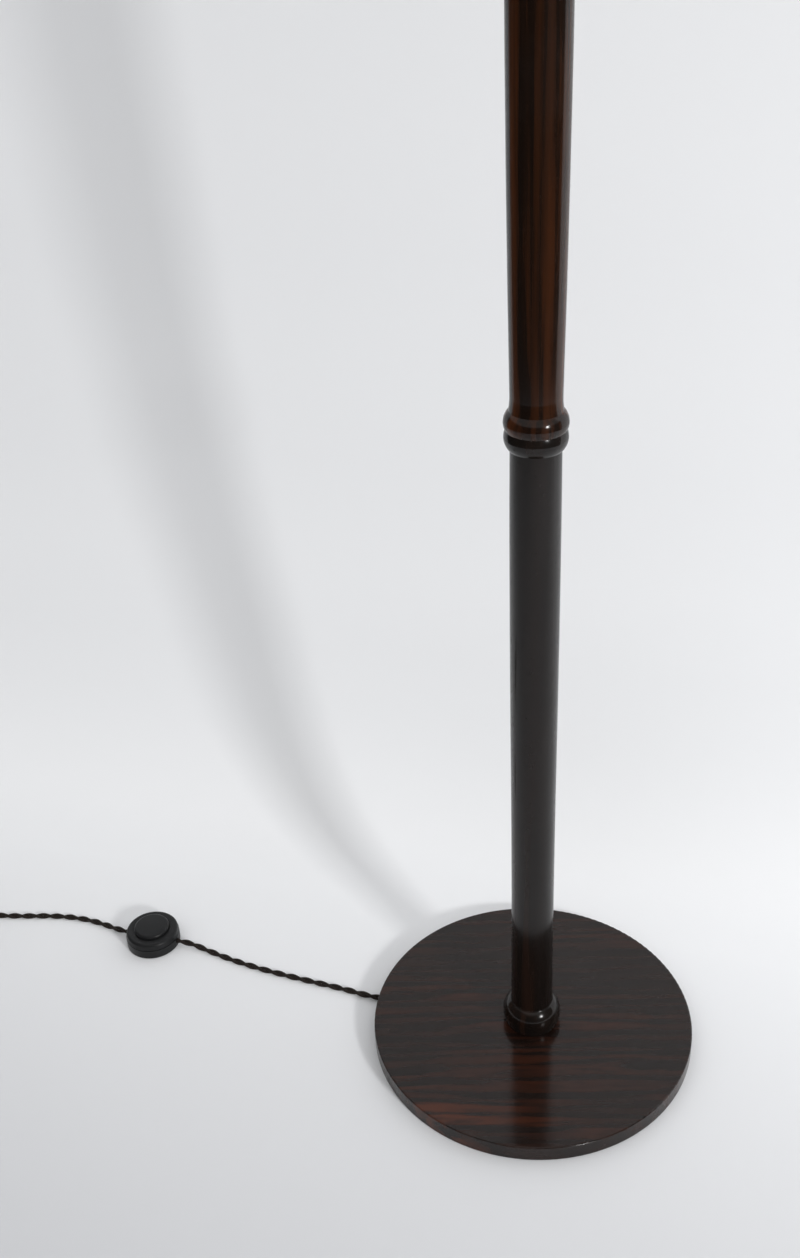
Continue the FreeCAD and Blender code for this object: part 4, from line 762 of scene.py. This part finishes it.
def paper_finish(name):
    """Matt white paper with painted shade: its colour darkens towards the front, where less
    light reaches it.
    """
    material, tree, shader = new_material(name, Roughness=0.9, Specular_IOR_Level=0.1)
    share = spread_values(tree, split(tree, object_place(tree))[1], PAPER_FRONT, PAPER_BACK)
    tree.links.new(blend_colours(tree, share, colour(*PAPER_PAINTED_SHADE), colour(*PAPER)),
                   shader.inputs["Base Color"])
    return material, tree, shader


def make_sweep():
    """The pale paper sweep: floor, curve and wall; from behind it lets everything through."""
    profile = smooth_line([Vector((0, y, z)) for y, z in SWEEP])
    vertices = [Vector((side, point.y, point.z))
                for side in (-SWEEP_HALF_WIDTH, SWEEP_HALF_WIDTH) for point in profile]
    count = len(profile)
    faces = [(row, count + row, count + row + 1, row + 1) for row in range(count - 1)]
    # The paper darkens towards the front with painted shade.
    paper, tree, shader = paper_finish("paper")
    clear = tree.nodes.new("ShaderNodeBsdfTransparent")
    facing = tree.nodes.new("ShaderNodeNewGeometry").outputs["Backfacing"]
    mixed = place_node(tree, "ShaderNodeMixShader",
                       {0: facing, 1: shader.outputs[0], 2: clear.outputs[0]})
    tree.links.new(mixed.outputs[0], tree.nodes["Material Output"].inputs["Surface"])
    sweep = place_mesh("paper_sweep", vertices, faces, paper)
    for polygon in sweep.data.polygons:
        polygon.use_smooth = True
    sweep.visible_shadow = False


def make_floor():
    """A plain floor just under the sweep, as far as any view reaches."""
    corners = [(x * FLOOR_REACH, y * FLOOR_REACH, -FLOOR_DROP)
               for x, y in ((-1, -1), (1, -1), (1, 1), (-1, 1))]
    # Its paper also darkens towards the front with painted shade.
    floor = place_mesh("studio_floor", corners, [(0, 1, 2, 3)],
                       paper_finish("plain_floor")[0])


def make_dark_room():
    """A ring round the stage whose faint glow is painted: it stands in for the dim room that
    the lacquer mirrors, and only glossy rays see it.
    """
    vertices = []
    for height in (0.0, ROOM_HEIGHT):
        for side in range(ROOM_SIDES):
            angle = FULL_TURN * side / ROOM_SIDES
            vertices.append((ROOM_RADIUS * math.cos(angle), ROOM_RADIUS * math.sin(angle),
                             height))
    faces = []
    for side in range(ROOM_SIDES):
        other = (side + 1) % ROOM_SIDES
        faces.append((side, side + ROOM_SIDES, other + ROOM_SIDES, other))
    dark = bpy.data.materials.new("dark_room")
    dark.use_nodes = True
    tree = dark.node_tree
    tree.nodes.remove(tree.nodes["Principled BSDF"])
    # Painted glow: the dim grey that the ring gives off, for the room seen in reflections.
    glow = place_node(tree, "ShaderNodeEmission", {"Color": colour(*ROOM_GLOW)})
    tree.links.new(glow.outputs[0], tree.nodes["Material Output"].inputs["Surface"])
    ring = place_mesh("dark_room", vertices, faces, dark)
    for kind in ("camera", "diffuse", "transmission", "volume_scatter", "shadow"):
        setattr(ring, "visible_" + kind, False)


# ---------------------------------------------------------------- light

# The sky's strength at and above its low and high level, and as the eye and metal see it.
SKY_LOW, SKY_HIGH, SKY_SEEN = 0.22, 0.84, 0.55
SKY_LOW_LEVEL, SKY_HIGH_LEVEL = 0.0, 0.8
KEY_AZIMUTH, KEY_HEIGHT, KEY_DISTANCE = 128.5, 25.5, 3.7
KEY_WIDTH, KEY_TALL, KEY_POWER = 0.44, 0.42, 69.0
KEY_AIM = (-0.4, 0.3, 0.5)


def make_key_light():
    """One soft box at the front right, aimed at the backdrop behind the lamp."""
    around, up = math.radians(KEY_AZIMUTH), math.radians(KEY_HEIGHT)
    place = Vector((KEY_DISTANCE * math.cos(up) * math.sin(around),
                    KEY_DISTANCE * math.cos(up) * math.cos(around),
                    KEY_DISTANCE * math.sin(up)))
    data = bpy.data.lights.new("key", "AREA")
    data.shape = "RECTANGLE"
    data.size = KEY_WIDTH
    data.size_y = KEY_TALL
    data.energy = KEY_POWER
    lamp = bpy.data.objects.new("key", data)
    turn = (Vector(KEY_AIM) - place).to_track_quat("-Z", "Y").to_matrix().to_4x4()
    lamp.matrix_world = Matrix.Translation(place) @ turn
    scene.collection.objects.link(lamp)


def make_sky():
    """Fill from above, like a white ceiling; to the eye and in metal it is evenly pale."""
    world = bpy.data.worlds.new("studio")
    world.use_nodes = True
    tree = world.node_tree
    toward = tree.nodes.new("ShaderNodeTexCoord").outputs["Generated"]
    fill = spread_values(tree, split(tree, toward)[2], SKY_LOW_LEVEL, SKY_HIGH_LEVEL,
                         SKY_LOW, SKY_HIGH)
    path = tree.nodes.new("ShaderNodeLightPath").outputs
    seen = maths(tree, "MAXIMUM", path["Is Camera Ray"],
                 maths(tree, "MAXIMUM", path["Is Glossy Ray"], path["Is Transmission Ray"]))
    backing = tree.nodes["Background"].inputs
    tree.links.new(blend_values(tree, seen, fill, SKY_SEEN), backing["Strength"])
    backing["Color"].default_value = colour(1.0, 1.0, 1.0)
    scene.world = world


# ---------------------------------------------------------------- the whole scene

make_camera()
FINISHES = make_finishes()
dress_frame(FINISHES)
make_cords(FINISHES)
make_return_spring(FINISHES["steel"])
make_stitches(FINISHES["linen_thread"])
make_sweep()
make_floor()
make_dark_room()
make_key_light()
make_sky()
scene.view_settings.view_transform = "Standard"
